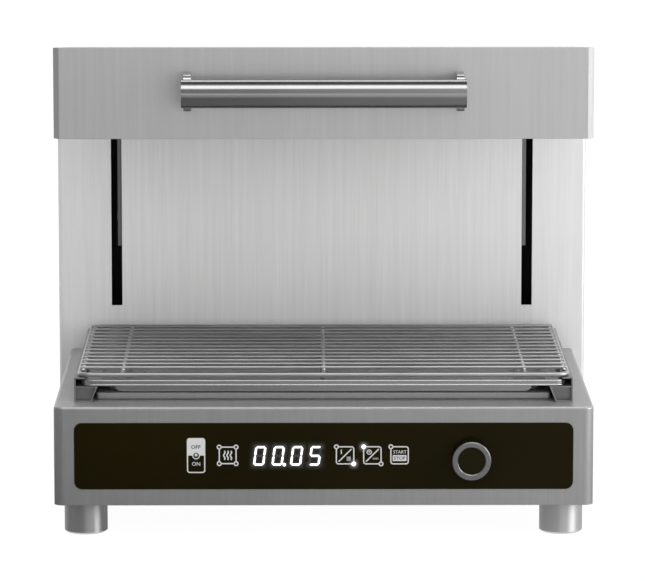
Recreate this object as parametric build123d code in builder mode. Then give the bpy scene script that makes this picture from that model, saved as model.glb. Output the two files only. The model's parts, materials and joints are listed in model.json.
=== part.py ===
from build123d import *
import math
import os

os.makedirs("parts", exist_ok=True)

# An electric salamander grill. X runs to the right, Y to the back and Z up, in millimetres.
# The origin is on the table, below the middle of the whole outline.

# Driving dimensions: casings
body_width = 572.0
tower_overhang = 13.0  # how far the tower is wider than the base, each side
deck_depth = 375.0  # front of the base to the front of the tower
tower_depth = 135.0
base_height = 106.0
sheet = 1.5
bend_inner = 1.5  # inner radius of the casing's bends
base_corner = 10.0  # outer radius of the base's upright front corners
panel_return = 14.0  # how far the tower's front panel folds back
seam_flange = 14.0
back_recess = 4.0  # back panel set in from the tower's rear edges
tower_headroom = 2.5  # upper bracket to the top cover
passage_margin = 34.0  # frame left round the wiring passage from base to tower
vent_length = 46.0
vent_width = 4.0
vent_pitch = 10.0
vent_rows = 8
floor_vent_columns = 2
back_vent_columns = 3
back_vent_shares = (0.25, 0.75)  # heights of the vent banks, as shares of the back panel
back_screw = 4.0
back_screw_length = 7.0
back_screw_shares = (0.08, 0.36, 0.64, 0.92)
head_flats = 1.6  # width and height of a bolt's head, in shank diameters
head_height = 0.65

# Driving dimensions: feet
foot_height = 36.0
foot_diameter = 46.0
foot_side_inset = 32.0
foot_front_inset = 43.0
foot_back_inset = 26.0
foot_chamfer = 2.0
foot_bolt_diameter = 10.0
foot_bolt_reach = 22.0

# Driving dimensions: deck well, rails, drip tray and rack
well_depth = 3.0
well_front = 47.0
well_inset = 32.0  # rails' outer faces to the well
well_corner = 18.0
well_slope = 45.0
rail_front = 28.0
rail_back = 22.0  # rails to the tower
rail_inset = 21.0  # base's sides to the rails
rail_sheet = 1.5
rail_web_inset = 10.0  # rail's front end to the web that closes its channel
rail_screw = 4.0
rail_screw_length = 8.0
rail_screw_shares = (0.1, 0.9)
rail_foot_width = 18.0
tray_ledge_width = 25.0
tray_ledge_height = 17.0
rack_ledge_width = 11.0
tray_headroom = 1.7  # tray's lip to the rack ledge, with the seat gap
tray_side_gap = 5.0
tray_sheet = 1.2
tray_lip = 6.3
tray_bend = 2.4  # outer radius between the flange and the lip
tray_flange = 20.5
tray_sink = 9.0
tray_corner = 14.0
tray_wall_slope = 50.0
rack_side_gap = 1.5
rack_frame_wire = 5.0
rack_cross_wire = 4.0
rack_corner = 11.0
rack_bays = 14
rack_rib_inset = 48.0
weld_bite = 0.6

# Driving dimensions: hood
hood_inset = 3.0  # how far the hood is narrower than the base, each side
hood_lift = 285.0  # deck to the raised hood's underside
hood_low = 95.0  # deck to the lowered hood's underside
hood_height = 96.0
hood_fall = 35.0  # how much lower the top is at the back
hood_gap = 8.0  # hood to tower
hood_chamfer = 6.0
hood_lip = 12.0
reflector_sheet = 1.0
reflector_depth = 38.0
reflector_slope = 32.0
reflector_margin = 4.0
reflector_corner = 30.0
element_diameter = 8.0
element_count = 4
element_margin = 33.0  # reflector's mouth to the first and last leg
element_drop = 18.0  # reflector's top to the elements' axis
element_bend_inset = 58.0
hairpin_share = 0.499  # bend radius per pitch, just under half, so that the two bends stay apart
hanger_inset = 158.5
hanger_sheet = 2.0
hanger_overhang = 6.0
element_bushing_diameter = 14.0
element_bushing_length = 10.0
insulation_inset = 12.0
insulation_gap = 3.0  # insulation to the hood's outer top face
element_cold_end = 9.0  # hood's side to the elements' tips
bushing_setback = 2.0
rim_corner = 9.0

# Driving dimensions: handle
handle_diameter = 30.0
handle_wall = 1.5
handle_length = 296.0
handle_reach = 37.0  # hood's face to the tube's axis
handle_rise = 3.5  # tube's axis above the middle of the hood's face
handle_bracket_inset = 6.0  # tube's end to the bracket's middle
handle_bracket_width = 8.0
handle_bracket_height = 38.5
handle_bracket_corner = 9.0
plug_flange = 2.0
plug_length = 10.0
handle_screw = 5.0
handle_screw_grip = 14.0
handle_screw_spread = 22.0

# Driving dimensions: lift
slot_inset = 50.0  # hood's sides to the slots' middles
slot_width = 12.0
slot_rise = 50.0  # deck to the slots' lower end
end_gap = 4.0  # room left past the hood's lowest and highest places
arm_sheet = 4.0
arm_slot_gap = 0.7
arm_neck_height = 26.0
arm_neck_rise = 32.0  # hood's underside to the neck's top
arm_top_margin = 1.0
arm_flange_width = 40.0
arm_flange_margin = 11.0
arm_panel_gap = 2.5
arm_bolt = 6.0
arm_bolt_grip = 12.0
arm_bolt_inset = 7.0
arm_bolt_end_gap = 1.0
flange_bolt_share = 0.7  # place of the flange bolts across the flange and up it
flange_bolt_shares = (0.2, 0.7)
carriage_plate = 5.0
bush_block_height = 40.0
bush_block_depth = 40.0
web_corner = 8.0
web_windows = 3
window_width_share = 0.75
window_height_share = 0.8
arm_window_share = 0.6
rod_diameter = 16.0
rod_inset = 31.0  # slots to the rods
rod_setback = 75.0  # tower's front to the rods
rod_pass_gap = 0.6
bushing_wall = 4.0
bushing_flange = 2.0
bracket_depth = 36.0
lower_bracket_height = 12.0
upper_bracket_height = 6.0
spring_inset = 55.0  # rods to the gas springs
spring_diameter = 22.0
spring_wall = 2.0
spring_rod_diameter = 8.0
spring_pass_gap = 1.2
spring_guide = 7.0
spring_base = 4.0
spring_stud = 6.0
spring_nut = 5.0
piston_height = 5.0
buffer_diameter = 14.0
buffer_height = 2.7
buffer_inset = 50.0  # gas springs to the buffers
sleeve_height = 20.2
sleeve_wall = 5.0

# Driving dimensions: controls and electrics
glass_side_margin = 22.0
glass_end_margin = 17.5
glass_thickness = 4.0
glass_proud = 0.5
glass_corner = 8.0
backplate_rim = 6.0
knob_inset = 108.0  # glass's right end to the knob
knob_drop = 2.2  # panel's middle to the knob's axis
knob_diameter = 41.0
knob_length = 18.5
knob_wall = 3.5
knob_hub_diameter = 13.0
knob_ring_bore = 29.0
knob_ring_depth = 3.0
knob_recess = 1.0
knob_ring_chamfer = 0.8
encoder_size = 16.0
encoder_bush_diameter = 9.0
encoder_bush_proud = 3.5
encoder_shaft_diameter = 6.0
display_reach = 194.0  # knob to the display's middle
display_width = 78.0
display_height = 28.0
display_depth = 10.5
display_chamfer = 1.5
board_margin = 18.0  # control board past the display and the encoder
board_height = 56.0
board_sheet = 1.6
board_corner = 2.0
power_board_width = 160.0
power_board_length = 110.0
power_board_inset = 66.0  # base's left side to the power board
standoff_diameter = 8.0
standoff_height = 10.0
standoff_inset = 8.0
relay_width = 45.0
relay_length = 58.0
relay_height = 26.0
relay_pitch = 70.0
relay_inset = 88.5  # base's right side to the relays
relay_chamfer = 6.5
terminal_width = 66.0
terminal_length = 24.0
terminal_height = 28.0
terminal_step = 12.0
gland_diameter = 24.0
gland_bore = 12.0
gland_thread = 20.0
gland_drop = 20.0
gland_collar = 8.0
gland_chamfer = 2.5
gland_inset = 150.0  # tower's right side to the gland

# Clearances
seat_gap = 0.2  # a piece that drops into or rests on another
run_gap = 0.05  # shaft in its bearing, radial
play = 0.3  # moving faces that pass each other
bolt_gap = 0.2  # bolt in its hole, radial

# Places that follow from the dimensions above
front_y = (handle_reach + handle_diameter / 2 - deck_depth - tower_depth) / 2
tower_y = front_y + deck_depth
back_y = tower_y + tower_depth
back_panel_y = back_y - back_recess
bend_radius = bend_inner + sheet
tower_width = body_width + 2 * tower_overhang
half_body = body_width / 2
half_tower = tower_width / 2
half_hood = half_body - hood_inset
base_z = foot_height
floor_z = base_z + sheet
deck_z = base_z + base_height
panel_z = base_z + base_height / 2
hood_z = deck_z + hood_lift
hood_travel = hood_lift - hood_low
hood_depth = deck_depth - hood_gap
hood_y = front_y + hood_depth
hood_top_z = hood_z + hood_height
handle_y = front_y - handle_reach
handle_z = hood_z + hood_height / 2 + handle_rise
handle_bracket_x = handle_length / 2 - handle_bracket_inset
handle_screw_heights = [handle_z - handle_screw_spread / 2, handle_z + handle_screw_spread / 2]
slot_x = half_hood - slot_inset
arm_inner = slot_x - slot_width / 2 + arm_slot_gap
arm_outer = arm_inner + arm_sheet
neck_top = hood_z + arm_neck_rise
neck_z = neck_top - arm_neck_height
rod_x = slot_x - rod_inset
rod_y = tower_y + rod_setback
spring_x = rod_x - spring_inset
buffer_x = spring_x - buffer_inset
lower_bracket_top = floor_z + lower_bracket_height
sleeve_top = lower_bracket_top + sleeve_height
carriage_z = sleeve_top + play + bushing_flange + hood_travel
carriage_top = neck_top + arm_top_margin
upper_bracket_z = carriage_top + buffer_height + play
tower_top = upper_bracket_z + upper_bracket_height + tower_headroom + sheet
rails_width = body_width - 2 * rail_inset
rail_length = deck_depth - rail_front - rail_back
rack_ledge_height = tray_ledge_height + rail_sheet + tray_lip + tray_headroom
glass_width = body_width - 2 * glass_side_margin
glass_height = base_height - 2 * glass_end_margin
knob_x = glass_width / 2 - knob_inset
knob_z = panel_z - knob_drop
display_x = knob_x - display_reach


def level(z, x=0, y=0):
    # Horizontal sketch plane: local x is X, local y is Y
    return Plane((x, y, z))


def upright(y, x=0, z=0):
    # Sketch plane that faces the back: local x is X reversed, local y is Z
    return Plane((x, y, z), x_dir=(-1, 0, 0), z_dir=(0, 1, 0))


def sidelong(x):
    # Sketch plane that faces right: local x is Y, local y is Z
    return Plane((x, 0, 0), x_dir=(0, 1, 0), z_dir=(1, 0, 0))


def slab(x, y, z, mode=Mode.ADD):
    # Box between two values on each axis
    centre = tuple((low + high) / 2 for low, high in (x, y, z))
    with Locations(centre):
        Box(x[1] - x[0], y[1] - y[0], z[1] - z[0], mode=mode)


def bar(start, end, diameter, mode=Mode.ADD):
    # Round bar from one point to another
    reach = Vector(*end) - Vector(*start)
    with Locations(Plane(start, z_dir=reach)):
        Cylinder(diameter / 2, reach.length, align=(Align.CENTER, Align.CENTER, Align.MIN), mode=mode)


def bolt(seat, into, shank, length):
    # Bolt with a hexagon head that sits on the seat and a shank that goes into the work
    seat = Vector(*seat)
    into = Vector(*into)
    bar(seat, seat + into * length, shank)
    with BuildSketch(Plane(seat, z_dir=-into)) as head:
        RegularPolygon(head_flats * shank / 2, 6, major_radius=False)
    extrude(head.sketch, amount=head_height * shank)


def bolt_hole(start, end, shank):
    # Clearance hole for a bolt, from one point to another
    bar(start, end, shank + 2 * bolt_gap, Mode.SUBTRACT)


# Feet: turned cylinders, each held by a bolt through the floor
foot_x = half_body - foot_side_inset
foot_points = {
    "front_left_foot": (-foot_x, front_y + foot_front_inset),
    "front_right_foot": (foot_x, front_y + foot_front_inset),
    "rear_left_foot": (-foot_x, back_y - foot_back_inset),
    "rear_right_foot": (foot_x, back_y - foot_back_inset),
}
for foot_name, (x, y) in foot_points.items():
    with BuildPart() as foot:
        bar((x, y, 0), (x, y, foot_height), foot_diameter)
        chamfer(foot.edges().group_by(Axis.Z)[0], foot_chamfer)
        bolt_hole((x, y, foot_height - foot_bolt_reach - play), (x, y, foot_height), foot_bolt_diameter)
    foot.part.label = foot_name
    export_step(foot.part, f"parts/{foot_name}.step")

with BuildPart() as foot_bolts:
    for x, y in foot_points.values():
        bolt((x, y, floor_z), (0, 0, -1), foot_bolt_diameter, foot_bolt_reach + sheet)
foot_bolts.part.label = "foot_bolts"
export_step(foot_bolts.part, "parts/foot_bolts.step")

# Base casing: front, sides and deck folded from one sheet, with a shallow well pressed into the deck
well_width = rails_width - 2 * well_inset
well_length = rail_front + rail_length - well_front
well_y = front_y + well_front + well_length / 2
rail_screw_x = rails_width / 2 - rail_foot_width / 2
rail_screw_points = [
    (side * rail_screw_x, front_y + rail_front + share * rail_length)
    for side in (-1, 1)
    for share in rail_screw_shares
]
with BuildPart() as base_casing:
    slab((-half_body, half_body), (front_y, tower_y), (base_z, deck_z))
    fillet(base_casing.edges().filter_by(Axis.Z).group_by(Axis.Y)[0], base_corner)
    fillet(base_casing.edges().group_by(Axis.Z)[-1].sort_by(Axis.Y)[:-1], bend_radius)
    casing_faces = base_casing.faces()
    offset(amount=-sheet, openings=[casing_faces.sort_by(Axis.Z)[0], casing_faces.sort_by(Axis.Y)[-1]])
    with BuildSketch(level(deck_z - sheet, y=well_y)):
        RectangleRounded(well_width + 2 * sheet, well_length + 2 * sheet, well_corner + sheet)
    extrude(amount=-well_depth)
    with BuildSketch(level(deck_z, y=well_y)):
        RectangleRounded(well_width, well_length, well_corner)
    extrude(amount=-well_depth, taper=well_slope, mode=Mode.SUBTRACT)
    with BuildSketch(upright(front_y, z=panel_z)):
        RectangleRounded(
            glass_width + 2 * seat_gap, glass_height + 2 * seat_gap, glass_corner + seat_gap
        )
    extrude(amount=sheet, mode=Mode.SUBTRACT)
    for x, y in rail_screw_points:
        bolt_hole((x, y, deck_z - sheet), (x, y, deck_z), rail_screw)
base_casing.part.label = "base_casing"
export_step(base_casing.part, "parts/base_casing.step")

# Base floor: a plate inside the casing's lower edge, with two rows of vents
with BuildPart() as base_floor:
    slab((sheet - half_body, half_body - sheet), (front_y + sheet, tower_y), (base_z, floor_z))
    fillet(base_floor.edges().filter_by(Axis.Z).group_by(Axis.Y)[0], base_corner - sheet)
    for name in ("front_left_foot", "front_right_foot"):
        x, y = foot_points[name]
        bolt_hole((x, y, base_z), (x, y, floor_z), foot_bolt_diameter)
    with BuildSketch(level(base_z, y=front_y + deck_depth / 2)):
        column_pitch = body_width / (floor_vent_columns + 1)
        with GridLocations(column_pitch, vent_pitch, floor_vent_columns, vent_rows):
            SlotOverall(vent_length, vent_width)
    extrude(amount=sheet, mode=Mode.SUBTRACT)
base_floor.part.label = "base_floor"
export_step(base_floor.part, "parts/base_floor.step")

# Rack rails: a folded channel on the deck, with a tray ledge and, above it, a rack ledge.
# A web closes the channel just inside its front end.
rail_y = front_y + rail_front
rail_x = rails_width / 2
channel = [
    (rail_x - rail_foot_width, 0),
    (rail_x, 0),
    (rail_x, tray_ledge_height),
    (rail_x - tray_ledge_width, tray_ledge_height),
]


def rail_end(y):
    # Sketch plane across the rails that faces the front, with its zero on the deck
    return Plane((0, y, deck_z), x_dir=(1, 0, 0), z_dir=(0, -1, 0))


with BuildPart() as right_rack_rail:
    with BuildSketch(rail_end(rail_y + rail_length)):
        with BuildLine():
            Polyline(*channel, close=True)
        make_face()
        offset(amount=-rail_sheet, kind=Kind.INTERSECTION, mode=Mode.SUBTRACT)
        with BuildLine():
            Polyline(
                (rail_x, tray_ledge_height - rail_sheet),
                (rail_x, rack_ledge_height),
                (rail_x - rack_ledge_width, rack_ledge_height),
                (rail_x - rack_ledge_width, rack_ledge_height - rail_sheet),
                (rail_x - rail_sheet, rack_ledge_height - rail_sheet),
                (rail_x - rail_sheet, tray_ledge_height - rail_sheet),
                close=True,
            )
        make_face()
    extrude(amount=rail_length)
    with BuildSketch(rail_end(rail_y + rail_web_inset + rail_sheet)):
        with BuildLine():
            Polyline(*channel, close=True)
        make_face()
    extrude(amount=rail_sheet)
    for x, y in rail_screw_points:
        if x > 0:
            bolt_hole((x, y, deck_z), (x, y, deck_z + rail_sheet), rail_screw)
right_rack_rail.part.label = "right_rack_rail"
export_step(right_rack_rail.part, "parts/right_rack_rail.step")

with BuildPart() as left_rack_rail:
    mirror(right_rack_rail.part, about=Plane.YZ)
left_rack_rail.part.label = "left_rack_rail"
export_step(left_rack_rail.part, "parts/left_rack_rail.step")

# Drip tray: a pressed tub with a flange on the tray ledges and a turned up lip all round
tray_z = deck_z + tray_ledge_height + seat_gap
tray_y = rail_y + rail_length / 2
tray_width = rails_width - 2 * (rail_sheet + tray_side_gap)
tub_width = tray_width - 2 * tray_flange
tub_length = rail_length - 2 * tray_flange
with BuildPart() as drip_tray:
    with BuildSketch(level(tray_z, y=tray_y)):
        RectangleRounded(tray_width, rail_length, tray_corner)
    extrude(amount=tray_lip)
    fillet(drip_tray.edges().group_by(Axis.Z)[0], tray_bend)
    with BuildSketch(level(tray_z + tray_sheet, y=tray_y)):
        RectangleRounded(
            tray_width - 2 * tray_sheet, rail_length - 2 * tray_sheet, tray_corner - tray_sheet
        )
    extrude(amount=tray_lip, mode=Mode.SUBTRACT)
    flange_top = drip_tray.faces().filter_by(Axis.Z).sort_by(Axis.Z)[1]
    fillet(flange_top.edges(), tray_bend - tray_sheet)
    with BuildSketch(level(tray_z, y=tray_y)):
        RectangleRounded(tub_width, tub_length, tray_corner)
    extrude(amount=-tray_sink, taper=tray_wall_slope)
    with BuildSketch(level(tray_z + tray_sheet, y=tray_y)):
        RectangleRounded(tub_width, tub_length, tray_corner)
    extrude(amount=-tray_sink, taper=tray_wall_slope, mode=Mode.SUBTRACT)
drip_tray.part.label = "drip_tray"
export_step(drip_tray.part, "parts/drip_tray.step")

# Wire rack: a bent frame wire, and rods welded to it: ribs inside it and cross wires on top.
# Each rod is a solid of its own, cut to what it is welded to.
frame_z = deck_z + rack_ledge_height + seat_gap + rack_frame_wire / 2
cross_z = frame_z + (rack_frame_wire + rack_cross_wire) / 2 - weld_bite
rack_width = rails_width - 2 * (rail_sheet + rack_side_gap)
frame_x = (rack_width - rack_frame_wire) / 2
rib_x = rack_width / 2 - rack_rib_inset
frame_front = rail_y + rack_frame_wire / 2
frame_back = rail_y + rail_length - rack_frame_wire / 2
with BuildPart() as rack_frame:
    with BuildLine():
        frame_wire = FilletPolyline(
            (0, frame_front, frame_z),
            (frame_x, frame_front, frame_z),
            (frame_x, frame_back, frame_z),
            (0, frame_back, frame_z),
            radius=rack_corner,
        )
    with BuildSketch(Plane((0, frame_front, frame_z), z_dir=(1, 0, 0))):
        Circle(rack_frame_wire / 2)
    sweep(path=frame_wire)
    mirror(about=Plane.YZ)
rack_frame.part.label = "rack_frame"
export_step(rack_frame.part, "parts/rack_frame.step")

with BuildPart() as rack_ribs:
    for x in (-rib_x, 0, rib_x):
        bar((x, frame_front, frame_z), (x, frame_back, frame_z), rack_frame_wire)
    add(rack_frame.part, mode=Mode.SUBTRACT)
with BuildPart() as rack_wires:
    for i in range(1, rack_bays):
        y = frame_front + (frame_back - frame_front) * i / rack_bays
        bar((-frame_x, y, cross_z), (frame_x, y, cross_z), rack_cross_wire)
    add(rack_frame.part, mode=Mode.SUBTRACT)
    add(rack_ribs.part, mode=Mode.SUBTRACT)
rack_rods = Compound(label="rack_rods", children=list(rack_ribs.solids() + rack_wires.solids()))
export_step(rack_rods, "parts/rack_rods.step")

# Tower front panel: folded back at the sides and top, with a slot for each hood arm
slot_z = deck_z + slot_rise
slot_top = neck_top + end_gap
with BuildPart() as tower_front_panel:
    slab((-half_tower, half_tower), (tower_y, tower_y + panel_return), (base_z, tower_top))
    tower_bends = tower_front_panel.edges().filter_by(Axis.Z).group_by(Axis.Y)[0]
    tower_bends += tower_front_panel.edges().filter_by(Axis.X).group_by(Axis.Z)[-1].group_by(Axis.Y)[0]
    fillet(tower_bends, bend_radius)
    panel_faces = tower_front_panel.faces()
    offset(amount=-sheet, openings=[panel_faces.sort_by(Axis.Z)[0], panel_faces.sort_by(Axis.Y)[-1]])
    for side in (-1, 1):
        x = side * slot_x
        slab(
            (x - slot_width / 2, x + slot_width / 2),
            (tower_y, tower_y + sheet),
            (slot_z, slot_top),
            Mode.SUBTRACT,
        )
    slab(
        (passage_margin - half_body, half_body - passage_margin),
        (tower_y, tower_y + sheet),
        (base_z + passage_margin / 2, deck_z - passage_margin / 2),
        Mode.SUBTRACT,
    )
tower_front_panel.part.label = "tower_front_panel"
export_step(tower_front_panel.part, "parts/tower_front_panel.step")

# Tower sides: plates with a flange near the back for the back panel's screws
back_screw_x = half_tower - sheet - seam_flange / 2
back_screw_heights = [base_z + (tower_top - base_z) * share for share in back_screw_shares]
with BuildPart() as tower_right_side:
    slab((half_tower - sheet, half_tower), (tower_y + panel_return, back_y), (base_z, tower_top))
    slab(
        (half_tower - sheet - seam_flange, half_tower - sheet),
        (back_panel_y - 2 * sheet, back_panel_y - sheet),
        (floor_z, tower_top - sheet),
    )
    for z in back_screw_heights:
        x = back_screw_x
        bolt_hole((x, back_panel_y - 2 * sheet, z), (x, back_panel_y - sheet, z), back_screw)
tower_right_side.part.label = "tower_right_side"
export_step(tower_right_side.part, "parts/tower_right_side.step")

with BuildPart() as tower_left_side:
    mirror(tower_right_side.part, about=Plane.YZ)
tower_left_side.part.label = "tower_left_side"
export_step(tower_left_side.part, "parts/tower_left_side.step")

with BuildPart() as tower_top_cover:
    slab(
        (sheet - half_tower, half_tower - sheet),
        (tower_y + panel_return, back_y),
        (tower_top - sheet, tower_top),
    )
tower_top_cover.part.label = "tower_top_cover"
export_step(tower_top_cover.part, "parts/tower_top_cover.step")

# Tower back panel: two banks of vents, one low and one high
with BuildPart() as tower_back_panel:
    slab(
        (sheet - half_tower, half_tower - sheet),
        (back_panel_y - sheet, back_panel_y),
        (base_z, tower_top - sheet),
    )
    for share in back_vent_shares:
        with BuildSketch(upright(back_panel_y - sheet, z=base_z + (tower_top - base_z) * share)):
            column_pitch = tower_width / (back_vent_columns + 1)
            with GridLocations(column_pitch, vent_pitch, back_vent_columns, vent_rows):
                SlotOverall(vent_length, vent_width)
        extrude(amount=sheet, mode=Mode.SUBTRACT)
    for side in (-1, 1):
        for z in back_screw_heights:
            x = side * back_screw_x
            bolt_hole((x, back_panel_y - sheet, z), (x, back_panel_y, z), back_screw)
tower_back_panel.part.label = "tower_back_panel"
export_step(tower_back_panel.part, "parts/tower_back_panel.step")

# Casing screws: those of the rails and those of the back panel
with BuildPart() as casing_screws:
    for x, y in rail_screw_points:
        bolt((x, y, deck_z + rail_sheet), (0, 0, -1), rail_screw, rail_screw_length)
    for side in (-1, 1):
        for z in back_screw_heights:
            bolt((side * back_screw_x, back_panel_y, z), (0, -1, 0), back_screw, back_screw_length)
casing_screws.part.label = "casing_screws"
export_step(casing_screws.part, "parts/casing_screws.step")

# Tower floor: carries the rear feet, the lower bracket and the cable gland
gland_x = half_tower - gland_inset
gland_y = (rod_y + bracket_depth / 2 + back_panel_y - sheet) / 2
with BuildPart() as tower_floor:
    slab(
        (sheet - half_tower, half_tower - sheet),
        (tower_y + sheet, back_panel_y - sheet),
        (base_z, floor_z),
    )
    fillet(tower_floor.edges().filter_by(Axis.Z).group_by(Axis.Y)[0], bend_inner)
    for name in ("rear_left_foot", "rear_right_foot"):
        x, y = foot_points[name]
        bolt_hole((x, y, base_z), (x, y, floor_z), foot_bolt_diameter)
    bolt_hole((gland_x, gland_y, base_z), (gland_x, gland_y, floor_z), gland_thread)
tower_floor.part.label = "tower_floor"
export_step(tower_floor.part, "parts/tower_floor.step")

# Cable gland: a threaded collar through the tower floor with a hexagon and a domed cap below it
with BuildPart() as cable_gland:
    with BuildSketch(level(base_z, gland_x, gland_y)):
        RegularPolygon(gland_diameter / 2, 6, major_radius=False)
    extrude(amount=-gland_drop / 2)
    bar((gland_x, gland_y, base_z - gland_drop), (gland_x, gland_y, base_z), gland_thread)
    chamfer(cable_gland.edges().group_by(Axis.Z)[0], gland_chamfer)
    bar((gland_x, gland_y, base_z), (gland_x, gland_y, floor_z + gland_collar), gland_thread)
    bar(
        (gland_x, gland_y, base_z - gland_drop),
        (gland_x, gland_y, floor_z + gland_collar),
        gland_bore,
        Mode.SUBTRACT,
    )
cable_gland.part.label = "cable_gland"
export_step(cable_gland.part, "parts/cable_gland.step")

# Rod brackets: bars across the tower, on its floor and under its top
bracket_reach = half_tower - sheet
spring_seat = spring_diameter + 2 * seat_gap
with BuildPart() as lower_rod_bracket:
    slab(
        (-bracket_reach, bracket_reach),
        (rod_y - bracket_depth / 2, rod_y + bracket_depth / 2),
        (floor_z, lower_bracket_top),
    )
    for side in (-1, 1):
        for x, bore in ((rod_x, rod_diameter + 2 * run_gap), (spring_x, spring_seat)):
            bar((side * x, rod_y, floor_z), (side * x, rod_y, lower_bracket_top), bore, Mode.SUBTRACT)
lower_rod_bracket.part.label = "lower_rod_bracket"
export_step(lower_rod_bracket.part, "parts/lower_rod_bracket.step")

upper_bracket_top = upper_bracket_z + upper_bracket_height
with BuildPart() as upper_rod_bracket:
    slab(
        (-bracket_reach, bracket_reach),
        (rod_y - bracket_depth / 2, rod_y + bracket_depth / 2),
        (upper_bracket_z, upper_bracket_top),
    )
    for side in (-1, 1):
        x = side * rod_x
        bar(
            (x, rod_y, upper_bracket_z),
            (x, rod_y, upper_bracket_top),
            rod_diameter + 2 * run_gap,
            Mode.SUBTRACT,
        )
upper_rod_bracket.part.label = "upper_rod_bracket"
export_step(upper_rod_bracket.part, "parts/upper_rod_bracket.step")

# Guide rods and gas springs, one of each per side
spring_top = carriage_top - carriage_plate - spring_nut - hood_travel - end_gap
spring_bore = spring_diameter - 2 * spring_wall
piston_top = spring_top - spring_guide - play
for side, hand in ((-1, "left"), (1, "right")):
    x = side * rod_x
    with BuildPart() as guide_rod:
        bar((x, rod_y, floor_z), (x, rod_y, upper_bracket_top), rod_diameter)
    guide_rod.part.label = f"{hand}_guide_rod"
    export_step(guide_rod.part, f"parts/{hand}_guide_rod.step")

    x = side * spring_x
    with BuildPart() as spring_cylinder:
        bar((x, rod_y, floor_z), (x, rod_y, spring_top), spring_diameter)
        bar(
            (x, rod_y, floor_z + spring_base),
            (x, rod_y, spring_top - spring_guide),
            spring_bore,
            Mode.SUBTRACT,
        )
        bar(
            (x, rod_y, spring_top - spring_guide),
            (x, rod_y, spring_top),
            spring_rod_diameter + 2 * run_gap,
            Mode.SUBTRACT,
        )
    spring_cylinder.part.label = f"{hand}_gas_spring_cylinder"
    export_step(spring_cylinder.part, f"parts/{hand}_gas_spring_cylinder.step")

    with BuildPart() as spring_rod:
        bar((x, rod_y, piston_top - piston_height), (x, rod_y, piston_top), spring_bore - 2 * play)
        bar((x, rod_y, piston_top), (x, rod_y, carriage_top - carriage_plate), spring_rod_diameter)
        bar((x, rod_y, carriage_top - carriage_plate), (x, rod_y, carriage_top), spring_stud)
        with BuildSketch(level(carriage_top - carriage_plate, x, rod_y)):
            RegularPolygon(spring_rod_diameter, 6, major_radius=False)
        extrude(amount=-spring_nut)
    spring_rod.part.label = f"{hand}_gas_spring_rod"
    export_step(spring_rod.part, f"parts/{hand}_gas_spring_rod.step")

# Bump stops: discs under the upper bracket, and sleeves round the rods on the lower one
with BuildPart() as bump_stops:
    for side in (-1, 1):
        x = side * buffer_x
        bar((x, rod_y, carriage_top + play), (x, rod_y, upper_bracket_z), buffer_diameter)
        x = side * rod_x
        bar((x, rod_y, lower_bracket_top), (x, rod_y, sleeve_top), rod_diameter + 2 * sleeve_wall)
        bar((x, rod_y, lower_bracket_top), (x, rod_y, sleeve_top), rod_diameter + 2 * play, Mode.SUBTRACT)
bump_stops.part.label = "bump_stops"
export_step(bump_stops.part, "parts/bump_stops.step")

# Carriage: four bush blocks joined by a top plate, a lower plate and a web behind
block_half = arm_inner - rod_x
block_y = (rod_y - bush_block_depth / 2, rod_y + bush_block_depth / 2)
lower_block = (carriage_z, carriage_z + bush_block_height)
upper_block = (carriage_top - carriage_plate - bush_block_height, carriage_top - carriage_plate)
lower_plate = (lower_block[1], lower_block[1] + carriage_plate)
upper_plate = (carriage_top - carriage_plate, carriage_top)
web_y = (block_y[1] - carriage_plate, block_y[1])
web_reach = rod_x - block_half
bush_diameter = rod_diameter + 2 * bushing_wall
window_pitch = 2 * web_reach / web_windows
window_height = (upper_block[0] - lower_plate[1]) * window_height_share
arm_bolt_y = block_y[1] - arm_bolt_inset
arm_bolt_heights = [sum(block) / 2 for block in (lower_block, upper_block)]
with BuildPart() as carriage:
    for side in (-1, 1):
        x = side * rod_x
        for block in (lower_block, upper_block):
            slab((x - block_half, x + block_half), block_y, block)
    for plate in (lower_plate, upper_plate):
        slab((-arm_inner, arm_inner), block_y, plate)
    slab((-web_reach, web_reach), web_y, (carriage_z, carriage_top))
    with BuildSketch(upright(web_y[0], z=(lower_plate[1] + upper_block[0]) / 2)):
        with GridLocations(window_pitch, 0, web_windows, 1):
            RectangleRounded(window_pitch * window_width_share, window_height, web_corner)
    extrude(amount=carriage_plate, mode=Mode.SUBTRACT)
    for side in (-1, 1):
        x = side * rod_x
        for block in (lower_block, upper_block):
            bar((x, rod_y, block[0]), (x, rod_y, block[1]), bush_diameter + 2 * run_gap, Mode.SUBTRACT)
        for plate in (lower_plate, upper_plate):
            bar((x, rod_y, plate[0]), (x, rod_y, plate[1]), rod_diameter + 2 * rod_pass_gap, Mode.SUBTRACT)
        for z in arm_bolt_heights:
            hole_end = side * (arm_inner - arm_bolt_grip)
            bolt_hole((side * arm_inner, arm_bolt_y, z), (hole_end, arm_bolt_y, z), arm_bolt)
        x = side * spring_x
        bar(
            (x, rod_y, lower_plate[0]),
            (x, rod_y, lower_plate[1]),
            spring_diameter + 2 * spring_pass_gap,
            Mode.SUBTRACT,
        )
        bolt_hole((x, rod_y, upper_plate[0]), (x, rod_y, upper_plate[1]), spring_stud)
carriage.part.label = "carriage"
export_step(carriage.part, "parts/carriage.step")

# Guide bushings: flanged sleeves pressed into the bush blocks from below
with BuildPart() as guide_bushings:
    for side in (-1, 1):
        x = side * rod_x
        for block in (lower_block, upper_block):
            bar((x, rod_y, block[0]), (x, rod_y, block[1]), bush_diameter)
            bar(
                (x, rod_y, block[0] - bushing_flange),
                (x, rod_y, block[0]),
                bush_diameter + 2 * bushing_wall,
            )
            bar(
                (x, rod_y, block[0] - bushing_flange),
                (x, rod_y, block[1]),
                rod_diameter + 2 * run_gap,
                Mode.SUBTRACT,
            )
guide_bushings.part.label = "guide_bushings"
export_step(guide_bushings.part, "parts/guide_bushings.step")

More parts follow.
